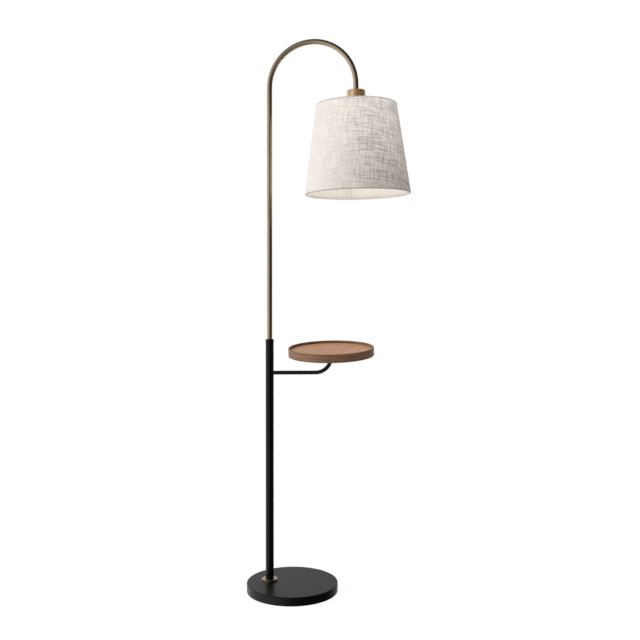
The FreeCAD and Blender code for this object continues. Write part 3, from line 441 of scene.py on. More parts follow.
def turned(points, pitch=0, roll=0, to=(0, 0, 0)):
    """Turns points about X by roll, then about Y by pitch, in degrees, and moves them."""
    p, r = math.radians(pitch), math.radians(roll)
    about_x = np.array([[1, 0, 0], [0, math.cos(r), -math.sin(r)], [0, math.sin(r), math.cos(r)]])
    about_y = np.array([[math.cos(p), 0, math.sin(p)], [0, 1, 0], [-math.sin(p), 0, math.cos(p)]])
    return points @ (about_y @ about_x).T + np.array(to, float)


def on_arm(points):
    """From the arm's own frame, with X along the rod, to the lamp's, without the roll."""
    return turned(points, pitch=-ARM_SLOPE, to=POLE + (0, 0, ARM_HEIGHT))


# A hole for the stud is drilled from near the hub's axis out through its side.
STUD_RADIUS, DRILL_NEAR, DRILL_FAR = 4.05, 2, 30
drill_radii, drill_reach = [0, STUD_RADIUS, STUD_RADIUS, 0], np.repeat([DRILL_NEAR, DRILL_FAR], 2)
drill = revolve(np.stack([drill_radii, drill_reach], axis=1), sides=48)
drill = on_arm(turned(drill, pitch=90))
drill = skin("stud_drill", drill, wrap=(True, False))
hole = hub.modifiers.new("stud hole", "BOOLEAN")
hole.object, hole.solver = drill, "EXACT"
with bpy.context.temp_override(object=hub, active_object=hub):
    bpy.ops.object.modifier_apply(modifier=hole.name)
bpy.data.objects.remove(drill)
hub.data.set_sharp_from_angle(angle=SHARP)
fit(hub, powder, "table_hub", "black_powder_coat", "table_hub")
coat(powder, "arm_saddle")

# ---------------------------------------------------------------- table arm
# Solid steel rod, 12 mm across, screwed to the hub on a stud, bent once and welded under the tray's
# plate, then powder coated with it. The table is levelled by turning the rod on its stud.
coat(zinc, "arm_stud")


def bend(points, straight, radius, degrees):
    """Bends what lies along Z, towards +X.

    A point is (u, v, s). Up to s = straight nothing moves. From there the line runs round an arc of
    the radius, by the angle h = (s - straight) / radius, and after the last angle straight on:
    middle M = (R (1 - cos h), 0, straight + R sin h), across N = (cos h, 0, -sin h), and the point
    goes to M + u N + v Y, plus what is left of s along (sin h, 0, cos h)."""
    u, v, s = np.moveaxis(points, -1, 0)
    h = np.clip((s - straight) / radius, 0, math.radians(degrees))
    rest = np.minimum(s, straight) + np.maximum(s - straight - radius * math.radians(degrees), 0)
    before, after = np.minimum(s, straight), rest - np.minimum(s, straight)
    x = radius * (1 - np.cos(h)) + after * np.sin(h) + u * np.cos(h)
    z = before + radius * np.sin(h) + after * np.cos(h) - u * np.sin(h)
    return np.stack([x, v, z], axis=-1)


# The rod starts beside the hub, ARM_START from the pole's axis, and is bored for its stud.
ARM_START, BEND_START, BEND_RADIUS, ARM_END = 13.3, 145, 51.5, 5.7
ARM_RADIUS, STUD_DEPTH, BEND_ANGLE = 6, 11.8, 90 - ARM_SLOPE
arm_run = BEND_START - ARM_START
arm_length = arm_run + BEND_RADIUS * math.radians(BEND_ANGLE) + ARM_END
arm_outline = outline(
    [
        (0, STUD_DEPTH),
        (STUD_RADIUS, STUD_DEPTH),
        (STUD_RADIUS, 0, 0.3),
        (ARM_RADIUS, 0, 0.5),
        (ARM_RADIUS, arm_length),
        (0, arm_length),
    ]
)
# The way back to the start is divided as well, which leaves the rod hollow inside, in a long cone
# whose mouth is closed by the tray's plate.
arm_outline = divided_open(arm_outline, step=1.6, low=100, high=arm_length)
arm_straight = revolve(arm_outline, sides=48)
# The rod lies along +X with its bend going up, so the bent piece is turned from Z to X.
arm_bent = bend(arm_straight, arm_run, BEND_RADIUS, BEND_ANGLE)
arm_bent = np.stack([arm_bent[..., 2] + ARM_START, -arm_bent[..., 1], arm_bent[..., 0]], axis=-1)
arm_placed = on_arm(turned(arm_bent, roll=ARM_ROLL))
arm = skin("arm_bent", arm_placed, arm_straight, wrap=(True, False))
fit(arm, powder, "table", "black_powder_coat", "table_arm")

# ---------------------------------------------------------------- plate and screws
# The plate is laser cut from 2.5 mm steel. Four pan-head wood screws with a cross recess go through
# it into the board.
coat(powder, "tray_plate")

TRAY_ON_ARM = (196.628, 0, 55.895)


def on_tray(points):
    """From the tray's own frame, with Z up out of the board, to the lamp's."""
    return on_arm(turned(turned(points, pitch=ARM_SLOPE, to=TRAY_ON_ARM), roll=ARM_ROLL))


# The head is a cap z = -2 + 0.6 (r / R)^2, pushed in by up to 1.1 mm where |x| or |y| is small.
SCREW_CIRCLE, HEAD_RADIUS, SHANK_RADIUS, SHANK_LENGTH, TIP = 19, 3.6, 1.75, 7.5, 10
RECESS = 1.1
head_radii = np.linspace(0, 3.4, 22)
head_face = np.stack([head_radii, -2 + 0.6 * (head_radii / HEAD_RADIUS) ** 2], axis=1)
shank = [
    (HEAD_RADIUS, -1.1),
    (HEAD_RADIUS, 0),
    (SHANK_RADIUS, 0),
    (SHANK_RADIUS, SHANK_LENGTH),
    (0, TIP),
]
screw = revolve(np.concatenate([head_face, shank]), sides=72)
across = np.minimum(np.abs(screw[..., 0]), np.abs(screw[..., 1]))
along = np.maximum(np.abs(screw[..., 0]), np.abs(screw[..., 1]))
inside = np.clip((0.62 - 0.12 * along - across) / 0.2, 0, 1) * np.clip((2.3 - along) / 0.5, 0, 1)
screw[..., 2] += RECESS * inside * (screw[..., 2] < -1)
screw_turns = np.radians(45 + 90 * np.arange(4))
screw_ways = np.stack([np.cos(screw_turns), np.sin(screw_turns), 0 * screw_turns], axis=1)
placed_screws = [on_tray(screw + SCREW_CIRCLE * way) for way in screw_ways]
screws = skin("screws_pan_head", placed_screws, wrap=(True, False))
fit(screws, zinc, "table", "zinc_steel", "tray_screws")

# ---------------------------------------------------------------- tray board
# A 12 mm board faced with walnut veneer, lacquered satin. The leaf's growth lines run from the front
# to the back of the tray, with fine dark pores along them.
veneer = Finish("lacquered walnut veneer", {"Specular IOR Level": 0.3})
leaf = veneer.run((1, 0.055, 1))
swirl = veneer.noise(leaf, 9, 3, 0.55, 0.4)
fibre = veneer.noise(veneer.run((1, 0.03, 1)), 420, 3)
growth = ((swirl * 150).sine() * 0.5 + 0.5) * 0.6 + fibre * 0.6
pores = veneer.noise(veneer.run((1, 0.06, 1)), 1500, 2).between(0.60, 0.72)
blush = veneer.noise(veneer.run((1, 0.4, 1)), 16, 2)
tan = veneer.mix(blush.between(0.35, 0.65), (0.62, 0.335, 0.165), (0.68, 0.345, 0.19))
figured = veneer.mix(growth.between(0.25, 1.0) * 0.5, tan, (0.52, 0.255, 0.115))
veneer.show(
    colour=veneer.mix(pores * 0.45, figured, (0.27, 0.12, 0.055)),
    roughness=0.36 + 0.1 * growth + 0.1 * pores,
    height=1 - 0.3 * growth - 0.7 * pores,
    depth=0.05,
)
# Heights on the tray start at the plate's underside, and the board lies on the plate.
BOARD_RADIUS, BOARD_LOW, BOARD_HIGH = 125.4, 2.5, 14.5
board_corners = [
    (0, BOARD_LOW),
    (BOARD_RADIUS, BOARD_LOW, 0.5),
    (BOARD_RADIUS, BOARD_HIGH, 0.4),
    (0, BOARD_HIGH),
]
board_local = revolve(outline(board_corners), sides=160)
board = skin("board_veneered", on_tray(board_local), board_local, wrap=(True, False))
fit(board, veneer, "table", "walnut_veneer", "tray_board")

# ---------------------------------------------------------------- tray rim
# A strip of solid walnut, steamed and bent round the board, with its ends planed to a long scarf
# and glued at the back. Its grain runs round the tray.
bentwood = Finish("lacquered bent walnut", {"Specular IOR Level": 0.35})
drift = bentwood.noise(bentwood.run((1, 0.035, 1)), 60, 3, 0.6, 0.5)
streak = bentwood.noise(bentwood.run((1, 0.02, 1)), 520, 3, 0.6)
rings = (drift * 60).sine() * 0.5 + 0.5
pinholes = bentwood.noise(bentwood.run((1, 0.05, 1)), 1700, 2).between(0.6, 0.72)
warm = bentwood.mix(rings * 0.6 + streak * 0.5, (0.30, 0.165, 0.095), (0.17, 0.085, 0.042))
bentwood.show(
    colour=bentwood.mix(pinholes * 0.5, warm, (0.08, 0.036, 0.018)),
    roughness=0.34 + 0.12 * streak,
    height=1 - 0.35 * streak - 0.65 * pinholes,
    depth=0.06,
)
RIM_OUT, RIM_IN, RIM_LOW, RIM_HIGH = 130.3, 125.5, -3.1, 22.0
RIM_CORNER, RIM_EASE = 0.3, 1.4
rim_corners = [
    (RIM_IN, RIM_LOW, RIM_CORNER),
    (RIM_OUT, RIM_LOW, RIM_EASE),
    (RIM_OUT, RIM_HIGH, RIM_EASE),
    (RIM_IN, RIM_HIGH, RIM_EASE),
]
rim_section = outline(rim_corners, closed=True)
rim_section = divide(rim_section, step=3, low=RIM_LOW + 1, high=RIM_HIGH - 1)


def strip(section, closing, rows):
    """Repeats a closed section on the rows of a strip, and adds a row at each end that lies all at
    one point of the section, or inside it, which closes that end. Gives the rows' two coordinates,
    and how far along the strip each row lies, from 0 to 1."""
    end = np.tile(closing, (1, len(section), 1))
    points = np.concatenate([end, np.tile(section, (rows, 1, 1)), end])
    share = np.pad(np.linspace(0, 1, rows), 1, mode="edge")[:, None]
    return points[..., 0], points[..., 1], share


# The strip goes once round from SCARF_TURN, short of itself by SCARF_GAP, and its ends slant by
# SCARF_LEAD per millimetre of radius. Its grain runs along t, measured on GRAIN_RADIUS.
SCARF_TURN, SCARF_GAP, SCARF_LEAD, GRAIN_RADIUS = math.radians(62), 0.0012, 0.045, 128
rim_middle = rim_section.mean(axis=0)
r, z, along_rim = strip(rim_section, rim_middle, rows=241)
t = SCARF_TURN + (2 * math.pi - SCARF_GAP) * along_rim + SCARF_LEAD * (r - rim_middle[0])
rim_local = np.stack([r * np.cos(t), r * np.sin(t), z], axis=-1)
rim_run = np.stack([r, GRAIN_RADIUS * t, z], axis=-1)
rim = skin("rim_bentwood", on_tray(rim_local), rim_run, wrap=(False, True))
fit(rim, bentwood, "table", "walnut_rim", "tray_rim")

# ---------------------------------------------------------------- ferrule and swivel
# A turned steel ferrule closes the pole. The brass stem stands in it on a threaded nipple, with a
# nylon washer and a nut under its floor, so the whole arc swings with a little friction.
FERRULE_FOOT, FERRULE_TOP, FERRULE_OUT = 722, 773.3, 12.8
STEM_HOLE, STEM_FLOOR, NIPPLE_HOLE, PLUG_RADIUS = 8.05, 728, 5.05, 11.25
ferrule_corners = [
    (NIPPLE_HOLE, FERRULE_FOOT),
    (PLUG_RADIUS, FERRULE_FOOT, 0.5),
    (PLUG_RADIUS, POLE_TOP),
    (FERRULE_OUT, POLE_TOP, 0.35),
    (FERRULE_OUT, FERRULE_TOP - 0.8, 0.25),
    (FERRULE_OUT - 0.8, FERRULE_TOP, 0.25),
    (STEM_HOLE, FERRULE_TOP, 0.2),
    (STEM_HOLE, STEM_FLOOR),
    (NIPPLE_HOLE, STEM_FLOOR),
]
ferrule = skin("ferrule_turned", revolve(outline(ferrule_corners, closed=True)) + POLE)
fit(ferrule, powder, "stand", "black_powder_coat", "pole_ferrule")
coat(zinc, "swivel_nipple", "swivel_nut", "stem_foot_insert")
coat(nylon, "swivel_washer")

# ---------------------------------------------------------------- brass stem and arc
# Two lengths of 16 mm brass tube, brushed along their length and given an antique tone under clear
# lacquer. The upper one is bent over a former to a half circle. A fine line shows where they meet.
lacquer = {"Coat Weight": 0.5, "Coat Roughness": 0.35}
brushed_brass = Finish("brushed antique brass", {"Metallic": 1, **lacquer})
hairs = brushed_brass.noise(brushed_brass.run((1, 1, 0.012)), 2400, 3, 0.6)
tarnish = brushed_brass.noise(brushed_brass.run((1, 1, 0.15)), 60, 3)
brushed_brass.show(
    colour=brushed_brass.mix(tarnish.between(0.3, 0.75), (0.55, 0.43, 0.30), (0.45, 0.34, 0.205)),
    roughness=0.31 + 0.1 * hairs,
    height=hairs,
    depth=0.004,
)
STEM_FOOT, STEM_TOP, BRASS_OUT, BRASS_IN, BRASS_EASE = 728.3, 1151, 8, 7, 0.35
stem_local = revolve(tube(STEM_FOOT, STEM_TOP, BRASS_OUT, BRASS_IN, BRASS_EASE), sides=72)
stem = skin("stem_brushed", stem_local + POLE, stem_local)
fit(stem, brushed_brass, "arc", "antique_brass", "stem_tube")

# The tube runs straight up to ARC_SPRING, round the bend, and straight down for the neck.
ARC_SPRING, ARC_RADIUS, ARC_TURN, NECK = 1549, 135, 178.9, 22.6
arc_rise = ARC_SPRING - STEM_TOP
arc_length = arc_rise + ARC_RADIUS * math.radians(ARC_TURN) + NECK
arc_outline = tube(0, arc_length, BRASS_OUT, BRASS_IN, BRASS_EASE)
arc_local = revolve(divide(arc_outline, step=3, low=arc_rise - 20, high=arc_length), sides=72)
arc_bent = bend(arc_local, arc_rise, ARC_RADIUS, ARC_TURN) + POLE + (0, 0, STEM_TOP)
arc = skin("arc_brushed", arc_bent, arc_local)
fit(arc, brushed_brass, "arc", "antique_brass", "arc_tube")
coat(zinc, "stem_top_insert", "arc_foot_insert", "neck_insert", "stem_joint_nipple", "neck_nipple")
coat(sleeve, "upper_wire")

# ---------------------------------------------------------------- cup
# A cup spun from brass sheet over the socket, brushed from top to bottom. It hangs from the neck's
# nipple by a nut.
HEAD = (197.975, 0, 1551.59)


def on_head(points):
    """From the head's own frame, with Z up the leaning neck from the arc's end, to the lamp's."""
    return turned(points, pitch=ARC_TURN - 180, to=HEAD)


lacquer = {"Coat Weight": 0.5, "Coat Roughness": 0.3}
spun_brass = Finish("spun warm brass", {"Metallic": 0.78, **lacquer})
strokes = spun_brass.noise(spun_brass.run((1, 1, 0.01)), 1500, 3, 0.6)
# The bands are darker streaks down the cup. They are partly the brushing and partly painted
# reflection streaks.
bands = spun_brass.noise(spun_brass.run((1, 1, 0.05)), 170, 3, 0.6)
# The side towards the stem is painted paler and the far side warmer: a painted highlight and a
# painted reflection on the brass.
painted_reflection_side = spun_brass.part(spun_brass.run(), "X").between(-0.016, 0.008)
painted_reflection_tone = spun_brass.mix(painted_reflection_side, (0.78, 0.64, 0.50), (0.80, 0.50, 0.25))
spun_brass.show(
    colour=spun_brass.mix(bands.between(0.40, 0.60) * 0.75, painted_reflection_tone, (0.50, 0.27, 0.10)),
    roughness=0.32 + 0.1 * strokes,
    height=strokes,
    depth=0.004,
)
CUP_RADIUS, CUP_HEIGHT, CUP_WALL, CUP_HOLE, CUP_FOOT = 28, 42, 1.2, 5.2, -64.6
cup_corners = [
    (CUP_HOLE, CUP_HEIGHT - CUP_WALL),
    (CUP_RADIUS - CUP_WALL, CUP_HEIGHT - CUP_WALL, 0.8),
    (CUP_RADIUS - CUP_WALL, 0),
    (CUP_RADIUS, 0, 0.3),
    (CUP_RADIUS, CUP_HEIGHT, 1.6),
    (CUP_HOLE, CUP_HEIGHT, 0.2),
]
cup_local = revolve(outline(cup_corners, closed=True), sides=128) + (0, 0, CUP_FOOT)
cup = skin("cup_spun", on_head(cup_local), cup_local)
fit(cup, spun_brass, "arc", "antique_brass", "socket_cup")
coat(zinc, "cup_nut")

# ---------------------------------------------------------------- socket
# A moulded phenolic housing with a coarse thread on its skirt for the ring nut, a brass screw shell
# and a sprung brass contact.
phenolic = Finish("black phenolic moulding", {"Specular IOR Level": 0.5})
mottle = phenolic.noise(phenolic.place(), 600, 3)
phenolic.show(
    colour=phenolic.mix(mottle, (0.010, 0.010, 0.010), (0.022, 0.021, 0.020)),
    roughness=0.3 + 0.12 * mottle,
    height=mottle,
    depth=0.015,
)
contact_brass = Finish("bright socket brass", {"Metallic": 1})
rubbed = contact_brass.noise(contact_brass.place((1, 1, 6)), 500, 2)
contact_brass.show(
    colour=contact_brass.mix(rubbed, (0.78, 0.62, 0.32), (0.62, 0.46, 0.22)),
    roughness=0.2 + 0.18 * rubbed,
    height=rubbed,
    depth=0.01,
)


def thread(points, pitch, depth, low, high, over):
    """Cuts a screw thread between two heights where a point is further than over from the axis: it
    goes in by depth (0.5 - 0.5 cos(2 pi (z / pitch - t / 2 pi))), with a short lead at both ends."""
    x, y, z = np.moveaxis(points, -1, 0)
    r, t = np.hypot(x, y), np.arctan2(y, x)
    lead = np.clip((z - low) / pitch, 0, 1) * np.clip((high - z) / pitch, 0, 1)
    cut = depth * lead * (0.5 - 0.5 * np.cos(2 * np.pi * z / pitch - t)) * (r > over)
    share = 1 - cut / np.maximum(r, 1e-6)
    return np.stack([x * share, y * share, z], axis=-1)


# The skirt takes the ring nut up to a flange, and the bulb goes into the mouth below.
HOUSING_FOOT, MOUTH, SKIRT_RADIUS, SKIRT_TOP, FLANGE = -104, 14, 19.7, 24, 23
housing_corners = [
    (0, 30),
    (MOUTH, 30, 0.6),
    (MOUTH, 0, 0.4),
    (SKIRT_RADIUS, 0, 0.6),
    (SKIRT_RADIUS, SKIRT_TOP),
    (FLANGE, SKIRT_TOP, 0.5),
    (FLANGE, 28, 0.8),
    (19, 28),
    (19, 62, 1),
    (8, 66, 1),
    (8, 72, 0.5),
    (5.05, 72),
    (5.05, 61),
    (15.5, 58),
    (15.5, 46),
    (0, 46),
]
housing_outline = divided_open(outline(housing_corners), step=0.45, low=1, high=23)
housing_local = thread(revolve(housing_outline), pitch=2.8, depth=1.0, low=1, high=23, over=19.5)
housing_local = housing_local + (0, 0, HOUSING_FOOT)
housing = skin("housing_moulded", on_head(housing_local), housing_local, wrap=(True, False))
fit(housing, phenolic, "arc", "black_moulding", "socket_housing")
coat(contact_brass, "socket_shell", "socket_contact")

# ---------------------------------------------------------------- switch
# A rotary switch: a brass shaft out of the housing, with a fluted moulded knob to turn between two
# fingers under the shade's top.
coat(contact_brass, "switch_shaft")
knob_corners = [
    (0, 8.7),
    (2.05, 8.7),
    (2.05, 0),
    (3.4, 0, 0.3),
    (3.4, 2),
    (5.225, 3.5, 0.3),
    (5.5, 14, 0.5),
    (4.5, 15, 0.4),
    (0, 15),
]


def fluted(points, count, depth, power, over):
    """Cuts flutes along the Z axis where a point is further than over from it: the radius is
    taken times 1 - depth (0.5 + 0.5 cos(count t))^power at the angle t."""
    x, y, z = np.moveaxis(points, -1, 0)
    wave = 0.5 + 0.5 * np.cos(count * np.arctan2(y, x))
    share = 1 - depth * (np.hypot(x, y) > over) * wave**power
    return np.stack([x * share, y * share, z], axis=-1)


# The knob stands out sideways from the socket on its shaft.
KNOB_OUT, KNOB_HEIGHT = 27.5, -70.3
knob_straight = revolve(outline(knob_corners), sides=144)
knob_straight = fluted(knob_straight, count=16, depth=0.07, power=2, over=4.6)
knob_local = turned(knob_straight + (0, 0, KNOB_OUT), roll=90, to=(0, 0, KNOB_HEIGHT))
knob = skin("knob_fluted", on_head(knob_local), knob_straight, wrap=(True, False))
fit(knob, phenolic, "switch", "black_moulding", "switch_knob")

# ---------------------------------------------------------------- bulb
# A globe of frosted glass on a brass cap with a rolled screw thread.
glass = {"IOR": 1.45, "Transmission Weight": 0.35, "Specular IOR Level": 0.5}
frosted = Finish("frosted glass", glass)
etch = frosted.noise(frosted.place(), 1800, 2)
frosted.show(
    colour=frosted.mix(etch, (0.90, 0.90, 0.88), (0.95, 0.95, 0.93)),
    roughness=0.4 + 0.1 * etch,
    height=etch,
    depth=0.01,
)
coat(frosted, "bulb_glass")
CAP_FOOT, CAP_RADIUS, THREAD_TOP, CONTACT_RADIUS, CONTACT_TOP = -102.8, 13.2, 19, 3.5, 25
cap_corners = [
    (0, 0),
    (12.2, 0, 0.3),
    (CAP_RADIUS, 1, 0.3),
    (CAP_RADIUS, THREAD_TOP, 1.0),
    (6.6, 23, 0.8),
    (CONTACT_RADIUS, 23),
    (CONTACT_RADIUS, CONTACT_TOP, 0.6),
    (0, CONTACT_TOP),
]
# As in the arm, this leaves a hollow inside, here a small cone from the contact down.
cap_outline = divided_open(outline(cap_corners), step=0.4, low=1, high=THREAD_TOP)
cap_local = thread(revolve(cap_outline), pitch=3.6, depth=1.1, low=1.5, high=THREAD_TOP, over=11)
cap_local = cap_local + (0, 0, CAP_FOOT)
cap = skin("cap_screw", on_head(cap_local), cap_local, wrap=(True, False))
fit(cap, contact_brass, "arc", "socket_brass", "bulb_cap")

# ---------------------------------------------------------------- shade carrier
# Steel wire, welded: a fitter ring that the ring nut holds on the socket, three spokes and the top
# ring, with a loose ring at the bottom, all white.
white_coat = Finish("white powder coat", {"Specular IOR Level": 0.4})
speck = white_coat.noise(white_coat.place(), 1500, 2)
white_coat.show(
    colour=white_coat.mix(speck, (0.80, 0.79, 0.75), (0.86, 0.85, 0.81)),
    roughness=0.45 + 0.12 * speck,
    height=speck,
    depth=0.015,
)
coat(white_coat, "shade_carrier", "shade_bottom_ring")
NUT_FOOT, NUT_HEIGHT, NUT_BORE, NUT_RADIUS, NUT_FLANGE = -89.35, 7.8, 19.75, 23, 27
nut_corners = [
    (NUT_BORE, 0, 0.3),
    (NUT_RADIUS, 0, 0.5),
    (NUT_RADIUS, 5.46),
    (NUT_FLANGE, 6.24, 0.3),
    (NUT_FLANGE, NUT_HEIGHT, 0.4),
    (NUT_BORE, NUT_HEIGHT),
]
nut_outline = divide(outline(nut_corners, closed=True), step=0.8, low=0.3, high=7.6)
nut_straight = revolve(nut_outline, sides=288)
nut_local = fluted(nut_straight, count=48, depth=0.022, power=1, over=22.4) + (0, 0, NUT_FOOT)
ring_nut = skin("nut_knurled", on_head(nut_local), nut_local)
fit(ring_nut, turned_brass, "arc", "antique_brass", "shade_ring_nut")

# ---------------------------------------------------------------- lining
# A sheet of off-white styrene, rolled to the cone and glued behind the linen between the two ring
# wires. It spreads the lamp's light.
styrene = Finish("off-white styrene", {"Specular IOR Level": 0.35})
pebble = styrene.noise(styrene.place(), 900, 3)
styrene.show(
    colour=styrene.mix(pebble, (0.90, 0.885, 0.84), (0.93, 0.92, 0.88)),
    roughness=0.6 + 0.15 * pebble,
    height=pebble,
    depth=0.02,
)
coat(styrene, "shade_lining")

# ---------------------------------------------------------------- linen shade
# Natural linen with thick and thin yarns on a stiffening, cut as a sector, rolled to the cone, lapped
# and glued at the back, and turned in over the ring wires at the top and bottom.
SHADE_TOP, SHADE_HEIGHT, TOP_RADIUS, BOTTOM_RADIUS = CUP_FOOT, 272.0, 122.0, 160.0
slope = (BOTTOM_RADIUS - TOP_RADIUS) / SHADE_HEIGHT
lean = math.atan(slope)
CLOTH, WIRE_INSET, HEM, HEM_BEND, HEM_INSET, WALL_FOOT = 0.8, 2.9, 8.0, 5.4, 2.6, 8
fold = WIRE_INSET - CLOTH / 2

# The path of the cloth's middle, as (in from the outside, up from the bottom edge), from the end
# of the lower hem round the bottom wire, up the wall, round the top wire and down its hem.
wall_heights = np.linspace(WALL_FOOT, SHADE_HEIGHT - WALL_FOOT, 60)
deep = WIRE_INSET + fold
cloth_path = outline(
    [
        (HEM_INSET, HEM),
        (deep, HEM_BEND, 1.5),
        (deep, CLOTH / 2, fold - 0.01),
        (CLOTH / 2, CLOTH / 2, fold - 0.01),
        *[(CLOTH / 2, height) for height in wall_heights],
        (CLOTH / 2, SHADE_HEIGHT - CLOTH / 2, fold - 0.01),
        (deep, SHADE_HEIGHT - CLOTH / 2, fold - 0.01),
        (deep, SHADE_HEIGHT - HEM_BEND, 1.5),
        (HEM_INSET, SHADE_HEIGHT - HEM),
    ],
    steps=8,
)
forward = np.gradient(cloth_path, axis=0)
forward /= np.linalg.norm(forward, axis=1, keepdims=True)
outwards = np.stack([-forward[:, 1], forward[:, 0]], axis=1) * CLOTH / 2
cloth_section = np.concatenate([cloth_path + outwards, (cloth_path - outwards)[::-1]])
path_step = np.linalg.norm(np.diff(cloth_path, axis=0), axis=1)
along_path = np.concatenate([[0], np.cumsum(path_step)])

# Laid flat, the cloth is a sector round the cone's point. The end of the lower hem lies APEX from
# that point, and the cloth turns over its two wires at the creases.
APEX = BOTTOM_RADIUS / math.sin(lean) + 20
from_apex = APEX - np.concatenate([along_path, along_path[::-1]])
on_wall = np.isclose(cloth_path[:, 1], WALL_FOOT) & np.isclose(cloth_path[:, 0], CLOTH / 2)
wall_start = from_apex[int(np.flatnonzero(on_wall)[0])]
LOW_CREASE, HIGH_CREASE = wall_start + 7, wall_start - (SHADE_HEIGHT - 10)

# The two yarns cross at right angles on the flat cloth, and wander a little.
YARN = 0.00085
fuzz = {"Specular IOR Level": 0.2, "Sheen Weight": 0.15, "Sheen Roughness": 0.5}
linen = Finish("natural slub linen", fuzz)
flat_cloth = linen.run()
wander = 0.0006 * linen.noise(flat_cloth, 38, 2)
across_cloth, down_cloth = linen.part(flat_cloth, "X"), linen.part(flat_cloth, "Y")
warp = ((across_cloth + wander) * (math.pi / YARN)).sine()
weft = ((down_cloth + wander) * (math.pi / YARN)).sine()
weave = 0.3 * abs(warp) + 0.3 * abs(weft) + 0.2 * warp * weft + 0.2


def slubs(across, along, seed):
    """Yarns that swell here and there: noise of a size across and along, in metres."""
    size = (1 / across, 1 / along, 1)
    return linen.noise(linen.run(size, move=(seed, seed, seed)), 1, 2, 0.55)


warp_slub, weft_slub = slubs(0.0037, 0.042, 3.1), slubs(0.048, 0.0036, 7.7)
warp_fine, weft_fine = slubs(0.0019, 0.030, 1.3), slubs(0.040, 0.0019, 5.9)
thick = warp_slub.between(0.49, 0.64) * 0.95 + weft_slub.between(0.49, 0.64)
fine = warp_fine.between(0.45, 0.66) + weft_fine.between(0.45, 0.66)
apex = linen.node("ShaderNodeVectorMath", {"operation": "LENGTH"}, {0: flat_cloth}, "Value")


def crease(place):
    """1 in a thin line at a distance from the cone's point, in millimetres, and 0 beside it."""
    return 1 - abs(apex - place * 0.001).between(0.0012, 0.0030)


# A thin dark line is painted where the cloth turns over the two ring wires: painted shade of the
# fold.
crease_painted_shade = crease(LOW_CREASE) + crease(HIGH_CREASE)
# The dark yarns are painted stronger from the front round to the right, and at the back on the left:
# painted shade of light raking across the slubs. On the hem inside they are painted fainter.
round_cone = across_cloth / apex
yarn_painted_shade = 0.17 + 0.83 * round_cone.between(-0.11, 0.12) * (1 - 0.52 * round_cone.between(0.24, 0.38))
yarn_painted_shade = yarn_painted_shade + 0.40 * (1 - round_cone.between(-0.38, -0.22))
hem_side = LOW_CREASE * 0.001
yarn_painted_shade = yarn_painted_shade * (1 - 0.8 * apex.between(hem_side + 0.003, hem_side + 0.005))
bleach = linen.noise(flat_cloth, 22, 3, 0.6)
tone = linen.mix(bleach.between(0.35, 0.65), (0.84, 0.79, 0.73), (0.80, 0.75, 0.71))
tone = linen.mix(fine * yarn_painted_shade * 0.35, tone, (0.50, 0.425, 0.37))
tone = linen.mix(thick * yarn_painted_shade * 0.62, tone, (0.40, 0.335, 0.285))
tone = linen.mix(crease_painted_shade * 0.5, tone, (0.20, 0.18, 0.165))
# Where the weave is low, between the yarns, the cloth is painted darker: painted shade in the
# hollows.
tone = linen.mix((1 - weave).between(0.3, 0.9) * 0.2, tone, (0.45, 0.39, 0.34))
linen.show(
    colour=tone,
    roughness=0.8 + 0.1 * warp_slub,
    height=weave * 0.3 + 0.4 * thick + 0.15 * fine,
    depth=0.35,
)

# The cloth goes once round the cone from LAP_TURN and then laps over its start, and its end is
# lifted on to the start over the last part of the turn.
LAP, LAP_TURN, LAP_RISE, LAP_LIFT = 12 / 140, math.radians(90) + 0.3, 0.06, 0.85
FRONT = math.radians(270)
# Each end of the strip closes on a point of the lower hem.
HEM_POINT = 8
inset, height, along_cloth = strip(cloth_section, cloth_section[HEM_POINT], rows=321)
once_round = (2 * math.pi + LAP) * along_cloth
turn = LAP_TURN + once_round
lapped = np.clip((once_round - 2 * math.pi + LAP_RISE) / LAP_RISE, 0, 1)
lapped = lapped * lapped * (3 - 2 * lapped)
radius = BOTTOM_RADIUS - slope * height - inset + LAP_LIFT * lapped
up = SHADE_TOP - SHADE_HEIGHT + height
cloth_local = np.stack([radius * np.cos(turn), radius * np.sin(turn), up], axis=-1)
flat_turn = (turn - FRONT) * math.sin(lean)
flat_x, flat_y = from_apex * np.sin(flat_turn), -from_apex * np.cos(flat_turn)
cloth_flat = np.stack([flat_x, flat_y, np.zeros_like(flat_x)], axis=-1)
shade = skin("linen_shade", on_head(cloth_local), cloth_flat, wrap=(False, True))
fit(shade, linen, "arc", "shade_linen", "shade_cover")

# ---------------------------------------------------------------- studio
# A white floor that takes the lamp's soft shadow, a large soft light at the left, a small spot from
# the right on the shade, a faint glow inside it, and a camera level with the middle of the lamp.
chalk = {"Base Color": (0.9, 0.9, 0.9), "Roughness": 0.9, "Specular IOR Level": 0.0}
paper = Finish("studio floor", chalk)
camera_sees = paper.node("ShaderNodeLightPath", {}, {}, "Is Camera Ray")
white = paper.node("ShaderNodeEmission", {}, {"Color": (1, 1, 1), "Strength": 1.045})
lit = Value(paper, paper.shader.outputs[0])
# The camera sees mostly plain white, and the rest of the shadow that falls on the floor.
whitened = paper.node("ShaderNodeMixShader", {}, {0: camera_sees * 0.9, 1: lit, 2: white})
paper.feed(paper.tree.nodes["Material Output"], "Surface", whitened)
floor_points = np.array([[(x, y, -0.05) for y in (-6000, 9000)] for x in (-9000, 9000)], float)
floor = skin("studio_floor", floor_points, wrap=(False, False))
floor.data.materials.append(paper.material)
floor.visible_glossy = False

world = bpy.data.worlds.new("studio")
bpy.context.scene.world = world
world.use_nodes = True
sky = Nodes(world.node_tree)
facing = sky.node("ShaderNodeTexCoord", {}, {}, "Generated")


def side_of(way):
    """How far a direction points one way, from -1 to 1."""
    product = {"operation": "DOT_PRODUCT"}
    return sky.node("ShaderNodeVectorMath", product, {0: facing, 1: way}, "Value")


left, behind = side_of((-0.97, -0.24, 0)), side_of((-0.2, 0.98, 0))
above = side_of((0, 0, 1))
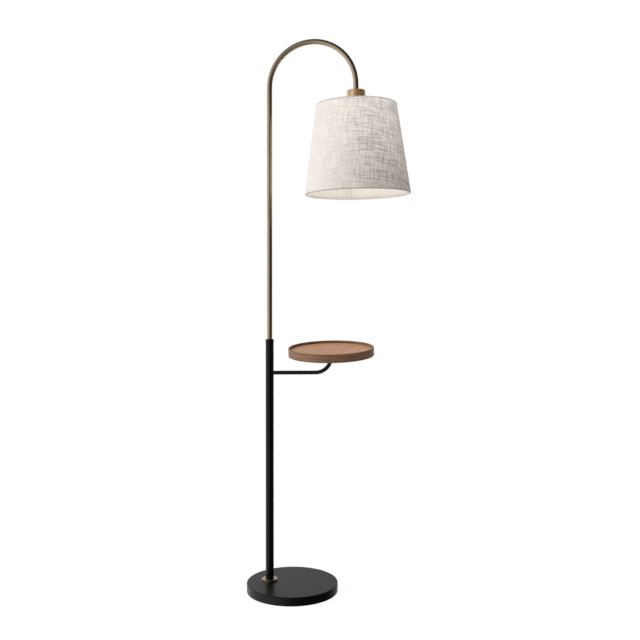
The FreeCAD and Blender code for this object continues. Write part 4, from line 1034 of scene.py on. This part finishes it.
# What the brass mirrors is bright at the left and behind, and darker overhead. What lights the
# other pieces is softer.
mirrored = left.between(-0.20, 0.9) * 0.85 + behind.between(0.25, 1.0) * 0.60 + 0.04
mirrored = mirrored.at_most(0.95) * (1 - 0.7 * above.between(0.25, 0.75))
ambient = left.between(-0.75, 1.0) * 0.55 + behind.between(0.0, 1.0) * 0.30
ambient = ambient + above.between(0.1, 1.0) * 0.45 + 0.04
seen = sky.node("ShaderNodeLightPath", {}, {}, "Is Camera Ray")
glossy = sky.node("ShaderNodeLightPath", {}, {}, "Is Glossy Ray")
level = ambient * (1 - glossy) + mirrored * glossy
level = level * (1 - seen) + seen
background = world.node_tree.nodes["Background"]
sky.feed(background, "Color", (1, 1, 1))
sky.feed(background, "Strength", level)


def soft_light(name, place, target, watts, size, spread=None, colour=(1, 1, 1)):
    """A light at a place, turned to its target, in metres and watts: a square, with a spread in
    degrees a spot, and with a spread of 0 a small globe."""
    lamp = bpy.data.lights.new(name, "AREA" if spread is None else "SPOT" if spread else "POINT")
    lamp.energy, lamp.color = watts, colour
    if spread is None:
        lamp.size = size
    else:
        lamp.shadow_soft_size = size
    if spread:
        lamp.spot_size, lamp.spot_blend = math.radians(spread), 1
    holder = bpy.data.objects.new(name, lamp)
    away = np.array(place, float) - np.array(target, float)
    holder.location = place
    lean_back = math.acos(away[2] / np.linalg.norm(away))
    holder.rotation_euler = (lean_back, 0, math.atan2(away[1], away[0]) + math.pi / 2)
    # The world alone is mirrored in the brass, so that it shows no square lights.
    holder.visible_camera = holder.visible_glossy = False
    bpy.context.scene.collection.objects.link(holder)


soft_light("key", (-3.3, -1.9, 2.2), (0, 0, 1.0), 86, 2.6)
soft_light("accent", (1.05, -0.9, 2.0), (0.24, -0.03, 1.46), 42, 0.15, spread=27)
soft_light("glow", (0.196, 0, 1.30), (0.196, 0, 1.0), 0.23, 0.02, spread=0, colour=(1.0, 0.9, 0.8))

camera = bpy.data.cameras.new("view")
camera.sensor_width, camera.lens, camera.shift_y = 36, 48.435, -0.045
viewer = bpy.data.objects.new("view", camera)
viewer.location = (0.6313, -2.5746, 0.9469)
viewer.rotation_euler = (math.radians(89.461), 0, math.radians(11.932))
bpy.context.scene.collection.objects.link(viewer)
bpy.context.scene.camera = viewer
bpy.context.scene.view_settings.view_transform = "Standard"
